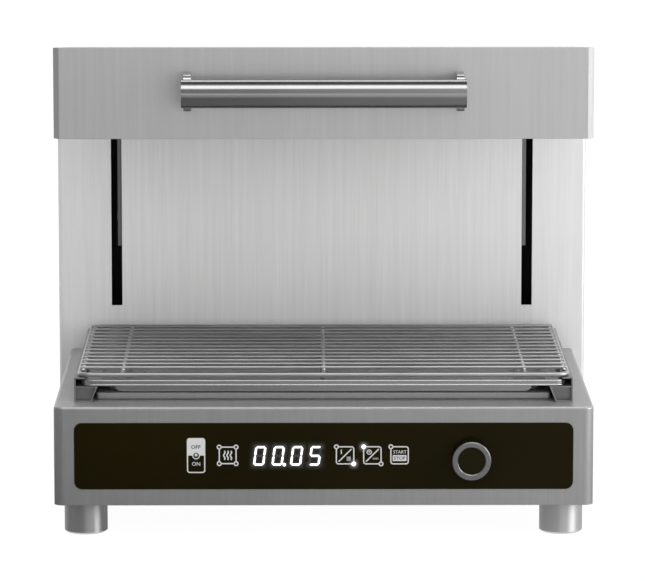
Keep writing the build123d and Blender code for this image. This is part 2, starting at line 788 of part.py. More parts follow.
# Hood arms: plates on the carriage whose necks pass through the slots to a flange on the hood
arm_front = tower_y + sheet + arm_panel_gap
arm_back = block_y[1] + carriage_plate
arm_x = (arm_inner, arm_outer)
arm_flange_height = hood_height - hood_fall - arm_flange_margin
flange_bolt_x = arm_outer - arm_flange_width * flange_bolt_share
flange_bolt_heights = [hood_z + hood_lip + arm_flange_height * share for share in flange_bolt_shares]
with BuildPart() as right_hood_arm:
    slab(arm_x, (arm_front, arm_back), (carriage_z - bushing_flange, carriage_top))
    slab(arm_x, (hood_y, arm_front), (neck_z, neck_top))
    slab(
        (arm_outer - arm_flange_width, arm_outer),
        (hood_y, hood_y + arm_sheet),
        (hood_z + arm_sheet, hood_z + arm_sheet + arm_flange_height),
    )
    with BuildSketch(sidelong(arm_inner)):
        with Locations(((arm_front + arm_back) / 2, (lower_plate[1] + upper_block[0]) / 2)):
            RectangleRounded((arm_back - arm_front) * arm_window_share, window_height, web_corner)
    extrude(amount=arm_sheet, mode=Mode.SUBTRACT)
    for z in arm_bolt_heights:
        bolt_hole((arm_inner, arm_bolt_y, z), (arm_outer, arm_bolt_y, z), arm_bolt)
    for z in flange_bolt_heights:
        bolt_hole((flange_bolt_x, hood_y, z), (flange_bolt_x, hood_y + arm_sheet, z), arm_bolt)
right_hood_arm.part.label = "right_hood_arm"
export_step(right_hood_arm.part, "parts/right_hood_arm.step")

with BuildPart() as left_hood_arm:
    mirror(right_hood_arm.part, about=Plane.YZ)
left_hood_arm.part.label = "left_hood_arm"
export_step(left_hood_arm.part, "parts/left_hood_arm.step")

# Hood shell: a sloping box with cut front corners, open below and behind, with lips turned in below
def hood_roof(depth):
    # Height of the hood's top at a depth behind its front
    return hood_top_z - hood_fall * depth / hood_depth


lip_y = front_y + hood_chamfer + sheet
with BuildPart() as hood_shell:
    with BuildSketch(sidelong(-half_hood)):
        with BuildLine():
            Polyline(
                (front_y, hood_z),
                (hood_y, hood_z),
                (hood_y, hood_roof(hood_depth)),
                (front_y, hood_top_z),
                close=True,
            )
        make_face()
    extrude(amount=2 * half_hood)
    chamfer(hood_shell.edges().filter_by(Axis.Z).group_by(Axis.Y)[0], hood_chamfer)
    shell_faces = hood_shell.faces()
    offset(
        amount=-sheet,
        openings=[shell_faces.sort_by(Axis.Z)[0], shell_faces.sort_by(Axis.Y)[-1]],
        kind=Kind.INTERSECTION,
    )
    lip_z = (hood_z, hood_z + sheet)
    lip_x = half_hood - hood_chamfer - sheet
    slab((-lip_x, lip_x), (front_y + sheet, front_y + sheet + hood_lip), lip_z)
    for side in (-1, 1):
        edges = sorted((side * (half_hood - sheet), side * (half_hood - sheet - hood_lip)))
        slab(edges, (lip_y, hood_y), lip_z)
    for x in (-handle_bracket_x, handle_bracket_x):
        for z in handle_screw_heights:
            bolt_hole((x, front_y, z), (x, front_y + sheet, z), handle_screw)
hood_shell.part.label = "hood_shell"
export_step(hood_shell.part, "parts/hood_shell.step")

# Hood rear panel: closes the back of the shell and carries the fourth lip
rear_inner = half_hood - sheet
rear_top = hood_roof(hood_depth) - sheet * (1 + (hood_fall / hood_depth) ** 2) ** 0.5 - seat_gap
with BuildPart() as hood_rear_panel:
    slab((-rear_inner, rear_inner), (hood_y - sheet, hood_y), (hood_z + sheet, rear_top))
    slab((hood_lip - rear_inner, rear_inner - hood_lip), (hood_y - hood_lip, hood_y), lip_z)
    for side in (-1, 1):
        x = side * flange_bolt_x
        for z in flange_bolt_heights:
            bolt_hole((x, hood_y - sheet, z), (x, hood_y, z), arm_bolt)
hood_rear_panel.part.label = "hood_rear_panel"
export_step(hood_rear_panel.part, "parts/hood_rear_panel.step")

# Reflector: a flared pan, mouth down, whose rim lies on the hood's lips
reflector_z = hood_z + sheet
mouth_width = 2 * (half_hood - sheet - hood_lip - reflector_margin)
mouth_length = hood_depth - 2 * (sheet + hood_lip + reflector_margin)
rim_grow = 2 * (hood_lip + reflector_margin - seat_gap)
reflector_y = front_y + hood_depth / 2
reflector_top = reflector_z + reflector_depth
element_z = reflector_top - element_drop
element_left = seat_gap + element_cold_end - rear_inner
leg_count = 2 * element_count
element_pitch = (mouth_length - 2 * element_margin) / (leg_count - 1)
leg_places = [reflector_y + element_pitch * (i - (leg_count - 1) / 2) for i in range(leg_count)]
element_hole = element_diameter + 2 * play
with BuildPart() as hood_reflector:
    with BuildSketch(level(reflector_z, y=reflector_y)):
        RectangleRounded(mouth_width + rim_grow, mouth_length + rim_grow, rim_corner)
    extrude(amount=reflector_sheet)
    with BuildSketch(level(reflector_z, y=reflector_y)):
        RectangleRounded(mouth_width, mouth_length, reflector_corner)
    extrude(amount=reflector_depth, taper=reflector_slope)
    with BuildSketch(level(reflector_z, y=reflector_y)):
        RectangleRounded(
            mouth_width - 2 * reflector_sheet,
            mouth_length - 2 * reflector_sheet,
            reflector_corner - reflector_sheet,
        )
    extrude(amount=reflector_depth - reflector_sheet, taper=reflector_slope, mode=Mode.SUBTRACT)
    for y in leg_places:
        bar((element_left, y, element_z), (0, y, element_z), element_hole, Mode.SUBTRACT)
hood_reflector.part.label = "hood_reflector"
export_step(hood_reflector.part, "parts/hood_reflector.step")

# Insulation: a wedge of fibre blanket between the reflector and the hood's top
reflector_inset = reflector_depth * math.tan(math.radians(reflector_slope))
wedge_front = reflector_y - mouth_length / 2 + reflector_inset + insulation_inset
wedge_back = reflector_y + mouth_length / 2 - reflector_inset - insulation_inset
wedge_half = mouth_width / 2 - reflector_inset - insulation_inset
with BuildPart() as hood_insulation:
    with BuildSketch(sidelong(-wedge_half)):
        with BuildLine():
            Polyline(
                (wedge_front, reflector_top),
                (wedge_back, reflector_top),
                (wedge_back, hood_roof(wedge_back - front_y) - insulation_gap),
                (wedge_front, hood_roof(wedge_front - front_y) - insulation_gap),
                close=True,
            )
        make_face()
    extrude(amount=2 * wedge_half)
hood_insulation.part.label = "hood_insulation"
export_step(hood_insulation.part, "parts/hood_insulation.step")

# Heating elements: tubular hairpins whose cold ends pass through the reflector's left wall
element_right = mouth_width / 2 - element_bend_inset
for i in range(element_count):
    near, far = leg_places[2 * i], leg_places[2 * i + 1]
    with BuildPart() as element:
        with BuildLine():
            hairpin = FilletPolyline(
                (element_left, near, element_z),
                (element_right, near, element_z),
                (element_right, far, element_z),
                (element_left, far, element_z),
                radius=hairpin_share * element_pitch,
            )
        with BuildSketch(Plane((element_left, near, element_z), z_dir=(1, 0, 0))):
            Circle(element_diameter / 2)
        sweep(path=hairpin)
    element.part.label = f"heating_element_{i + 1}"
    export_step(element.part, f"parts/heating_element_{i + 1}.step")

# Element hangers: two drilled strips under the reflector's top
strip_reach = (leg_places[-1] - leg_places[0]) / 2 + hanger_overhang
hanger_x = mouth_width / 2 - hanger_inset
with BuildPart() as element_hangers:
    for x in (-hanger_x, hanger_x):
        slab(
            (x - hanger_sheet / 2, x + hanger_sheet / 2),
            (reflector_y - strip_reach, reflector_y + strip_reach),
            (element_z - element_diameter, reflector_top - reflector_sheet),
        )
        for y in leg_places:
            bar(
                (x - hanger_sheet, y, element_z),
                (x + hanger_sheet, y, element_z),
                element_hole,
                Mode.SUBTRACT,
            )
element_hangers.part.label = "element_hangers"
export_step(element_hangers.part, "parts/element_hangers.step")

# Element bushings: ceramic collars on the cold ends, between the reflector and the hood's side
with BuildPart() as element_bushings:
    for y in leg_places:
        start = (element_left + bushing_setback, y, element_z)
        end = (element_left + bushing_setback + element_bushing_length, y, element_z)
        bar(start, end, element_bushing_diameter)
        bar(start, end, element_hole, Mode.SUBTRACT)
element_bushings.part.label = "element_bushings"
export_step(element_bushings.part, "parts/element_bushings.step")

# Handle: a round tube with end plugs, on two saddle brackets screwed to the hood's front
tube_end = handle_length / 2 - plug_flange
tube_bore = handle_diameter - 2 * handle_wall
with BuildPart() as handle_tube:
    bar((-tube_end, handle_y, handle_z), (tube_end, handle_y, handle_z), handle_diameter)
    bar((-tube_end, handle_y, handle_z), (tube_end, handle_y, handle_z), tube_bore, Mode.SUBTRACT)
handle_tube.part.label = "handle_tube"
export_step(handle_tube.part, "parts/handle_tube.step")

with BuildPart() as handle_plugs:
    for side in (-1, 1):
        inner = (side * (tube_end - plug_length), handle_y, handle_z)
        seat = (side * tube_end, handle_y, handle_z)
        outer = (side * handle_length / 2, handle_y, handle_z)
        bar(inner, seat, tube_bore - 2 * run_gap)
        bar(seat, outer, handle_diameter)
handle_plugs.part.label = "handle_plugs"
export_step(handle_plugs.part, "parts/handle_plugs.step")

for side, hand in ((-1, "left"), (1, "right")):
    x = side * handle_bracket_x
    with BuildPart() as handle_bracket:
        slab(
            (x - handle_bracket_width / 2, x + handle_bracket_width / 2),
            (handle_y, front_y),
            (handle_z - handle_bracket_height / 2, handle_z + handle_bracket_height / 2),
        )
        fillet(handle_bracket.edges().filter_by(Axis.X).group_by(Axis.Y)[0], handle_bracket_corner)
        bar(
            (-handle_length, handle_y, handle_z),
            (handle_length, handle_y, handle_z),
            handle_diameter,
            Mode.SUBTRACT,
        )
        for z in handle_screw_heights:
            bolt_hole((x, front_y - handle_screw_grip - play, z), (x, front_y, z), handle_screw)
    handle_bracket.part.label = f"{hand}_handle_bracket"
    export_step(handle_bracket.part, f"parts/{hand}_handle_bracket.step")

# Hood fasteners: the bolts of the arms and the screws of the handle
with BuildPart() as hood_fasteners:
    for side in (-1, 1):
        for z in arm_bolt_heights:
            seat = (side * arm_outer, arm_bolt_y, z)
            bolt(seat, (-side, 0, 0), arm_bolt, arm_sheet + arm_bolt_grip - arm_bolt_end_gap)
        for z in flange_bolt_heights:
            bolt((side * flange_bolt_x, hood_y - sheet, z), (0, 1, 0), arm_bolt, sheet + arm_sheet)
        for z in handle_screw_heights:
            seat = (side * handle_bracket_x, front_y + sheet, z)
            bolt(seat, (0, -1, 0), handle_screw, sheet + handle_screw_grip)
hood_fasteners.part.label = "hood_fasteners"
export_step(hood_fasteners.part, "parts/hood_fasteners.step")

# Control glass: one black pane set into the base's front, with a hole for the encoder
glass_y = (front_y - glass_proud, front_y - glass_proud + glass_thickness)
encoder_hole = encoder_bush_diameter + 2 * bolt_gap
with BuildPart() as control_glass:
    with BuildSketch(upright(glass_y[0], z=panel_z)):
        RectangleRounded(glass_width, glass_height, glass_corner)
    extrude(amount=glass_thickness)
    bar((knob_x, glass_y[0], knob_z), (knob_x, glass_y[1], knob_z), encoder_hole, Mode.SUBTRACT)
control_glass.part.label = "control_glass"
export_step(control_glass.part, "parts/control_glass.step")

# Backplate: a shallow tray behind the glass whose rim meets the casing round the cut-out
plate_width = glass_width + 2 * backplate_rim
plate_height = glass_height + 2 * backplate_rim
plate_y = (glass_y[1], glass_y[1] + sheet)
with BuildPart() as control_backplate:
    with BuildSketch(upright(front_y + sheet, z=panel_z)):
        RectangleRounded(plate_width, plate_height, glass_corner)
    extrude(amount=plate_y[1] - front_y - sheet)
    with BuildSketch(upright(front_y + sheet, z=panel_z)):
        RectangleRounded(glass_width + 2 * seat_gap, glass_height + 2 * seat_gap, glass_corner)
    extrude(amount=plate_y[0] - front_y - sheet, mode=Mode.SUBTRACT)
    with BuildSketch(upright(plate_y[0], display_x, panel_z)):
        Rectangle(display_width + 2 * seat_gap, display_height + 2 * seat_gap)
    extrude(amount=sheet, mode=Mode.SUBTRACT)
    bar((knob_x, plate_y[0], knob_z), (knob_x, plate_y[1], knob_z), encoder_hole, Mode.SUBTRACT)
control_backplate.part.label = "control_backplate"
export_step(control_backplate.part, "parts/control_backplate.step")

# Display module: a chamfered block against the back of the glass, on the control board
board_y = (plate_y[0] + display_depth, plate_y[0] + display_depth + board_sheet)
with BuildPart() as display_module:
    slab(
        (display_x - display_width / 2, display_x + display_width / 2),
        (plate_y[0], board_y[0]),
        (panel_z - display_height / 2, panel_z + display_height / 2),
    )
    chamfer(display_module.edges().filter_by(Axis.Z).group_by(Axis.Y)[-1], display_chamfer)
display_module.part.label = "display_module"
export_step(display_module.part, "parts/display_module.step")

board_left = display_x - display_width / 2 - board_margin
board_right = knob_x + encoder_size / 2 + board_margin
with BuildPart() as control_board:
    with BuildSketch(upright(board_y[0], (board_left + board_right) / 2, panel_z)):
        RectangleRounded(board_right - board_left, board_height, board_corner)
    extrude(amount=board_sheet)
control_board.part.label = "control_board"
export_step(control_board.part, "parts/control_board.step")

# Encoder: a square body on the control board, with a round bush through the glass
shaft_bore = encoder_shaft_diameter + 2 * run_gap
bush_front = glass_y[0] - encoder_bush_proud
with BuildPart() as encoder_body:
    slab(
        (knob_x - encoder_size / 2, knob_x + encoder_size / 2),
        plate_y[1:] + board_y[:1],
        (knob_z - encoder_size / 2, knob_z + encoder_size / 2),
    )
    bar((knob_x, bush_front, knob_z), (knob_x, plate_y[1], knob_z), encoder_bush_diameter)
    bar((knob_x, bush_front, knob_z), (knob_x, board_y[0] - sheet, knob_z), shaft_bore, Mode.SUBTRACT)
encoder_body.part.label = "encoder_body"
export_step(encoder_body.part, "parts/encoder_body.step")

# Knob: a hollow turned body with a recessed face, a metal ring round the face and the shaft in its hub
knob_back = glass_y[0] - seat_gap - play
knob_front = knob_back - knob_length
ring_back = knob_front + knob_ring_depth
hub_back = bush_front - play - seat_gap
cap_back = ring_back + knob_wall
knob_axis = Axis((knob_x, 0, knob_z), (0, 1, 0))
with BuildPart() as knob_body:
    with BuildSketch(Plane((knob_x, 0, knob_z), x_dir=(1, 0, 0), z_dir=(0, 0, 1))):
        with BuildLine():
            Polyline(
                (encoder_shaft_diameter / 2 + seat_gap / 2, hub_back),
                (knob_hub_diameter / 2, hub_back),
                (knob_hub_diameter / 2, cap_back),
                (knob_diameter / 2 - knob_wall, cap_back),
                (knob_diameter / 2 - knob_wall, knob_back),
                (knob_diameter / 2, knob_back),
                (knob_diameter / 2, ring_back),
                (knob_ring_bore / 2 - seat_gap, ring_back),
                (knob_ring_bore / 2 - seat_gap, knob_front + knob_recess),
                (0, knob_front + knob_recess),
                (0, ring_back),
                (encoder_shaft_diameter / 2 + seat_gap / 2, ring_back),
                close=True,
            )
        make_face()
    revolve(axis=knob_axis)
knob_body.part.label = "knob_body"
export_step(knob_body.part, "parts/knob_body.step")

with BuildPart() as knob_ring:
    bar((knob_x, knob_front, knob_z), (knob_x, ring_back, knob_z), knob_diameter)
    bar((knob_x, knob_front, knob_z), (knob_x, ring_back, knob_z), knob_ring_bore, Mode.SUBTRACT)
    chamfer(knob_ring.edges().group_by(Axis.Y)[0], knob_ring_chamfer)
knob_ring.part.label = "knob_ring"
export_step(knob_ring.part, "parts/knob_ring.step")

with BuildPart() as encoder_shaft:
    bar((knob_x, ring_back, knob_z), (knob_x, board_y[0] - sheet - play, knob_z), encoder_shaft_diameter)
encoder_shaft.part.label = "encoder_shaft"
export_step(encoder_shaft.part, "parts/encoder_shaft.step")

# Power board on four standoffs, relays beside it and a stepped terminal block in the tower
power_y = front_y + deck_depth / 2
power_board_x = power_board_inset + power_board_width / 2 - half_body
relay_x = half_body - relay_inset - (relay_pitch + relay_width) / 2
power_z = floor_z + standoff_height
with BuildPart() as power_board:
    with BuildSketch(level(power_z, power_board_x, power_y)):
        RectangleRounded(power_board_width, power_board_length, board_corner)
    extrude(amount=board_sheet)
power_board.part.label = "power_board"
export_step(power_board.part, "parts/power_board.step")

with BuildPart() as board_standoffs:
    with BuildSketch(level(floor_z, power_board_x, power_y)):
        with GridLocations(
            power_board_width - 2 * standoff_inset, power_board_length - 2 * standoff_inset, 2, 2
        ):
            RegularPolygon(standoff_diameter / 2, 6)
    extrude(amount=standoff_height)
board_standoffs.part.label = "board_standoffs"
export_step(board_standoffs.part, "parts/board_standoffs.step")

with BuildPart() as solid_state_relays:
    with BuildSketch(level(floor_z, relay_x, power_y)):
        with GridLocations(relay_pitch, 0, 2, 1):
            Rectangle(relay_width, relay_length)
    extrude(amount=relay_height)
    chamfer(solid_state_relays.edges().filter_by(Axis.X).group_by(Axis.Z)[-1], relay_chamfer)
solid_state_relays.part.label = "solid_state_relays"
export_step(solid_state_relays.part, "parts/solid_state_relays.step")

with BuildPart() as terminal_block:
    slab(
        (gland_x - 2 * terminal_width, gland_x - terminal_width),
        (gland_y - terminal_length / 2, gland_y + terminal_length / 2),
        (floor_z, floor_z + terminal_height),
    )
    slab(
        (gland_x - 2 * terminal_width, gland_x - terminal_width),
        (gland_y - terminal_length / 2, gland_y),
        (floor_z + terminal_height - terminal_step, floor_z + terminal_height),
        Mode.SUBTRACT,
    )
terminal_block.part.label = "terminal_block"
export_step(terminal_block.part, "parts/terminal_block.step")
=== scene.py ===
import json
import math

import bpy
import numpy as np
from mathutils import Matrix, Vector


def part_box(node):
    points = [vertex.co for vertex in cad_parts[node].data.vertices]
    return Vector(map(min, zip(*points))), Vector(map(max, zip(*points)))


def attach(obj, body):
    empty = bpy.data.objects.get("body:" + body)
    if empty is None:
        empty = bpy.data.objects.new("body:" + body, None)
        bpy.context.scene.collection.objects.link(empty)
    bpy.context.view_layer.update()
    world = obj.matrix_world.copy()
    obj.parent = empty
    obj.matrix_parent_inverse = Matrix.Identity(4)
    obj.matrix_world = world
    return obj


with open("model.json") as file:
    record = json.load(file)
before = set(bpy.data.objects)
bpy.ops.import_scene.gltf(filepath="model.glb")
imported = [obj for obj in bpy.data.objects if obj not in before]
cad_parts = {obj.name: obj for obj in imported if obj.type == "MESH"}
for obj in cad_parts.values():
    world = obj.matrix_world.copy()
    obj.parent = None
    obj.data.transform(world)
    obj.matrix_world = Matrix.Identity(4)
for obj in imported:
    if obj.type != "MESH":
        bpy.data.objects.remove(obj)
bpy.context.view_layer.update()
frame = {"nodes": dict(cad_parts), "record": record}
nodes = frame["nodes"]
scene = bpy.context.scene
scene.view_settings.view_transform = "Standard"


# Camera: a long lens in front, a little above the hood
shot = {
    "place": (-0.027, -4.820, 0.972),
    "pitch": 0.1525,  # radians down from level
    "yaw": 0.0056,  # radians to the right
    "lens": 246.3,
    "sensor": 36,
    "far": 60,
}
cameraData = bpy.data.cameras.new("shotCamera")
cameraData.lens = shot["lens"]
cameraData.sensor_width = shot["sensor"]
cameraData.clip_end = shot["far"]
camera = bpy.data.objects.new("shotCamera", cameraData)
camera.location = shot["place"]
camera.rotation_euler = (math.pi / 2 - shot["pitch"], 0, -shot["yaw"])
scene.collection.objects.link(camera)
scene.camera = camera
print("camera set")


def setSocket(tree, socket, value):
    # A socket takes a link from another socket, or a fixed value
    if isinstance(value, bpy.types.NodeSocket):
        tree.links.new(value, socket)
    else:
        socket.default_value = value


def addNode(tree, kind, inputs=None, **settings):
    # One shader node: settings are its properties, inputs are values or sockets by name or number
    node = tree.nodes.new(kind)
    for key, value in settings.items():
        setattr(node, key, value)
    for key, value in (inputs or {}).items():
        setSocket(tree, node.inputs[key], value)
    return node


def link(tree, shader, **sockets):
    # A shader's sockets by their names, with _ for each space
    for name, value in sockets.items():
        setSocket(tree, shader.inputs[name.replace("_", " ")], value)


def mixNumber(tree, factor, low, high):
    return addNode(tree, "ShaderNodeMix", {0: factor, 2: low, 3: high}, data_type="FLOAT").outputs[0]


def mixColour(tree, factor, low, high, blend="MIX"):
    # Low and high are tones or sockets; sockets 6 and 7 of the Mix node take colours
    low, high = (end if isinstance(end, bpy.types.NodeSocket) else (*end, 1) for end in (low, high))
    ends = {0: factor, 6: low, 7: high}
    return addNode(tree, "ShaderNodeMix", ends, data_type="RGBA", blend_type=blend).outputs[2]


def spread(tree, value, low, high, start=0.3, end=0.7):
    # A value from start to end becomes low to high; noise keeps mostly between 0.3 and 0.7
    ranged = {"Value": value, "From Min": start, "From Max": end, "To Min": low, "To Max": high}
    return addNode(tree, "ShaderNodeMapRange", ranged).outputs["Result"]


def sums(tree, kind, first, second=0.0):
    return addNode(tree, "ShaderNodeMath", {0: first, 1: second}, operation=kind).outputs[0]


def meanOf(tree, first, second):
    return sums(tree, "MULTIPLY", sums(tree, "ADD", first, second), 0.5)


def noiseAt(tree, coords, waves, detail=3.0, shift=(0, 0, 0)):
    # Noise with its own number of waves per metre on each axis
    placed = addNode(tree, "ShaderNodeMapping", {"Vector": coords, "Scale": waves, "Location": shift})
    found = {"Vector": placed.outputs[0], "Scale": 1.0, "Detail": detail, "Roughness": 0.6}
    return addNode(tree, "ShaderNodeTexNoise", found).outputs["Fac"]


def bumps(tree, height, bump, normal=None):
    # Bump holds the strength and the depth in metres
    ridges = {"Height": height, "Strength": bump[0], "Distance": bump[1]}
    if normal is not None:
        ridges["Normal"] = normal
    return addNode(tree, "ShaderNodeBump", ridges).outputs[0]


def newFinish(name):
    material = bpy.data.materials.new(name)
    material.use_nodes = True
    tree = material.node_tree
    coords = addNode(tree, "ShaderNodeTexCoord").outputs["Object"]
    return material, tree, tree.nodes["Principled BSDF"], coords


def toned(tone, share):
    return tuple(min(1.0, channel * share) for channel in tone)


def varied(tree, factor, tone, vary):
    # From a share darker than the tone to the same share lighter
    return mixColour(tree, factor, toned(tone, 1 - vary), toned(tone, 1 + vary))


# Brushed sheet steel: the grain runs up the walls and from front to back on level faces, but along the tray
# Painted shade: the box inside the tower's sheets is painted near black
towerLow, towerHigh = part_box("tower_front_panel")
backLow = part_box("tower_back_panel")[0]
paintedShadeFrom = {"sheet": 0.0014, "back": 0.00014}  # from the tower's outer faces to its inside, where shade is painted
towerPaintedShade = (
    (towerLow.x + paintedShadeFrom["sheet"], towerLow.y + paintedShadeFrom["sheet"], towerLow.z + paintedShadeFrom["sheet"]),
    (towerHigh.x - paintedShadeFrom["sheet"], backLow.y + paintedShadeFrom["back"], towerHigh.z - paintedShadeFrom["sheet"]),
)
brushedSteel = {  # metal: on walls, then on level faces
    "hoodSteel": {"tone": (0.49,) * 3, "rough": 0.36, "streak": 0.05, "metal": (0.85, 0.8)},
    "towerSteel": {
        "tone": (0.60,) * 3,
        "rough": 0.42,
        "streak": 0.05,
        "metal": (0.85, 0.85),
        "front": {"pale": 1.27, "metal": 0.5},  # painted light: the face to the user is painted paler than the tower's other faces, and made duller
        "hollow": towerPaintedShade,
    },
    "baseSteel": {"tone": (0.40,) * 3, "rough": 0.42, "streak": 0.06, "metal": (0.9, 0.5)},
    "railSteel": {"tone": (0.23,) * 3, "rough": 0.34, "streak": 0.06, "metal": (0.8, 0.6)},
    "traySteel": {"tone": (0.40,) * 3, "rough": 0.17, "streak": 0.05, "metal": (0.9, 0.6), "grain": "along"},
}
brushing = {
    "fine": (900, 14),  # waves per metre across and along the grain
    "broad": (170, 3.5),
    "smudge": (9, 9),
    "streaks": (0.35, 0.65),  # the part of the noise that makes the streaks
    "facing": 0.7,  # share of the normal past which a face counts as level or as a front
    "inside": 0.06,  # share of the tone that is left where shade is painted in the tower's inside
    "scratch": 0.03,  # how far the fine grain changes the roughness
    "worn": (-0.03, 0.04),  # how far the smudges change it
    "edge": 0.0007,  # radius that lights see on the sheet's edges
    "edgeSamples": 4,
    "bump": (0.12, 0.00006),
    "pull": 0.35,  # how far the grain draws lights out
}


def insideBox(tree, coords, low, high):
    # 1 between the two corners and 0 outside them
    axes = addNode(tree, "ShaderNodeSeparateXYZ", {0: coords}).outputs
    inside = 1.0
    for axis, start, end in zip(axes, low, high):
        offset = sums(tree, "SUBTRACT", axis, (start + end) / 2)
        between = sums(tree, "LESS_THAN", sums(tree, "ABSOLUTE", offset), (end - start) / 2)
        inside = sums(tree, "MULTIPLY", inside, between)
    return inside


def brushed(name, recipe):
    # Fine and broad noise, drawn out along the grain, streak the tone and the gloss
    material, tree, shader, coords = newFinish(name)
    normal = addNode(tree, "ShaderNodeNewGeometry").outputs["Normal"]
    facing = addNode(tree, "ShaderNodeSeparateXYZ", {0: normal}).outputs
    isLevel = sums(tree, "GREATER_THAN", sums(tree, "ABSOLUTE", facing[2]), brushing["facing"])
    layers = {}
    for layer in ("fine", "broad", "smudge"):
        across, along = brushing[layer]
        if recipe.get("grain") == "along":
            layers[layer] = noiseAt(tree, coords, (along, across, across))
            continue
        onWalls = noiseAt(tree, coords, (across, across, along))
        onLevels = noiseAt(tree, coords, (across, along, across))
        layers[layer] = mixNumber(tree, isLevel, onWalls, onLevels)

    tone, streak = recipe["tone"], recipe["streak"]
    grain = meanOf(tree, layers["fine"], layers["broad"])
    streaks = spread(tree, grain, 0.0, 1.0, *brushing["streaks"])
    colour = varied(tree, streaks, tone, streak)
    onWall, onLevel = recipe["metal"]
    metal = spread(tree, isLevel, onWall, onLevel, 0.0, 1.0)
    # Painted light: faces turned to the user get a paler tone than the rest of the tower, and less metal
    if "front" in recipe:
        front = recipe["front"]
        paintedLightFaces = sums(tree, "LESS_THAN", facing[1], -brushing["facing"])
        pale = varied(tree, streaks, toned(tone, front["pale"]), streak)
        colour = mixColour(tree, paintedLightFaces, colour, pale)
        duller = spread(tree, paintedLightFaces, 0.0, onWall - front["metal"], 0.0, 1.0)
        metal = sums(tree, "SUBTRACT", metal, duller)
    # Painted shade: the tower's inside, seen through its slots, is painted near black
    if "hollow" in recipe:
        inPaintedShade = insideBox(tree, coords, *recipe["hollow"])
        colour = mixColour(tree, inPaintedShade, colour, toned(tone, brushing["inside"]))

    smooth, coarse = recipe["rough"] - brushing["scratch"], recipe["rough"] + brushing["scratch"]
    worn = spread(tree, layers["smudge"], *brushing["worn"])
    rough = sums(tree, "ADD", worn, spread(tree, layers["fine"], smooth, coarse))
    rounded = addNode(tree, "ShaderNodeBevel", {"Radius": brushing["edge"]}, samples=brushing["edgeSamples"])
    ridges = bumps(tree, layers["fine"], brushing["bump"], rounded.outputs[0])
    link(tree, shader, Base_Color=colour, Roughness=rough, Normal=ridges, Metallic=metal)
    link(tree, shader, Anisotropic=brushing["pull"])
    return material


# Other metals: tone, how far it varies, roughness, and the waves per metre of their marks on each axis
plainMetals = {
    "rackWire": {"tone": (0.46,) * 3, "vary": 0.14, "rough": 0.38, "waves": (30, 60, 60)},
    "hemSteel": {"tone": (0.56,) * 3, "vary": 0.08, "rough": 0.20, "waves": (12, 12, 600)},
    # painted highlight: the welds are paler than the wires, standing in for the lit tops of the ribs in the
    # gaps
    "weldSteel": {"tone": (0.72,) * 3, "vary": 0.10, "rough": 0.30, "waves": (400, 400, 400)},
    "handleSteel": {"tone": (0.32,) * 3, "vary": 0.06, "rough": 0.17, "waves": (6, 700, 700)},
    "bracketSteel": {"tone": (0.50,) * 3, "vary": 0.06, "rough": 0.26, "waves": (300, 300, 12)},
    "footSteel": {"tone": (0.64,) * 3, "vary": 0.12, "rough": 0.45, "waves": (260, 260, 5), "turned": 0.8},
    "fastenerSteel": {"tone": (0.52, 0.52, 0.50), "vary": 0.10, "rough": 0.32, "waves": (500, 500, 500)},
    "liftSteel": {"tone": (0.22,) * 3, "vary": 0.14, "rough": 0.42, "waves": (60, 60, 60)},
    "rodChrome": {"tone": (0.70,) * 3, "vary": 0.03, "rough": 0.10, "waves": (40, 40, 900)},
    "bushingBronze": {"tone": (0.50, 0.33, 0.14), "vary": 0.12, "rough": 0.34, "waves": (80, 80, 900)},
    "reflectorMetal": {"tone": (0.72, 0.71, 0.69), "vary": 0.10, "rough": 0.24, "waves": (30, 30, 30)},
    "hangerSteel": {"tone": (0.34, 0.30, 0.25), "vary": 0.25, "rough": 0.40, "waves": (120, 120, 120)},
    "encoderMetal": {"tone": (0.46, 0.46, 0.45), "vary": 0.08, "rough": 0.30, "waves": (400, 400, 400)},
    "knobMetal": {"tone": (0.25,) * 3, "vary": 0.08, "rough": 0.30, "waves": (260, 900, 260)},
}

# Paint, rubber, ceramic, felt and plastics, in the same way
plainOthers = {
    "springBlack": {"tone": (0.022, 0.022, 0.023), "vary": 0.2, "rough": 0.38, "waves": (700, 700, 700)},
    "bufferRubber": {"tone": (0.022,) * 3, "vary": 0.25, "rough": 0.82, "waves": (500, 500, 500)},
    "insulatorWhite": {"tone": (0.74, 0.71, 0.64), "vary": 0.06, "rough": 0.65, "waves": (500, 500, 500)},
    "fibreWhite": {"tone": (0.74, 0.72, 0.66), "vary": 0.14, "rough": 0.95, "waves": (220, 220, 700)},
    "displayBlack": {"tone": (0.010, 0.010, 0.011), "vary": 0.2, "rough": 0.22, "waves": (300, 300, 300)},
    "knobBlack": {
        "tone": (0.0075, 0.006, 0.0012),
        "vary": 0.2,
        "rough": 0.42,
        "waves": (900, 900, 900),
        "gloss": 0.055,
    },
    "relayBlack": {"tone": (0.03, 0.03, 0.031), "vary": 0.2, "rough": 0.55, "waves": (700, 700, 700)},
    "terminalIvory": {"tone": (0.62, 0.55, 0.42), "vary": 0.08, "rough": 0.5, "waves": (500, 500, 500)},
    "glandBlack": {"tone": (0.025, 0.025, 0.026), "vary": 0.2, "rough": 0.52, "waves": (800, 800, 800)},
}
marking = {
    "detail": 4.0,
    "cloudWaves": (14, 14, 14),
    "cloudDetail": 2.0,
    "cloudShift": (3, 1, 2),
    "roughShare": 0.15,
    "bump": (0.1, 0.0001),
    "latheTurn": 0.25,  # turns the drawn-out lights a quarter round
}


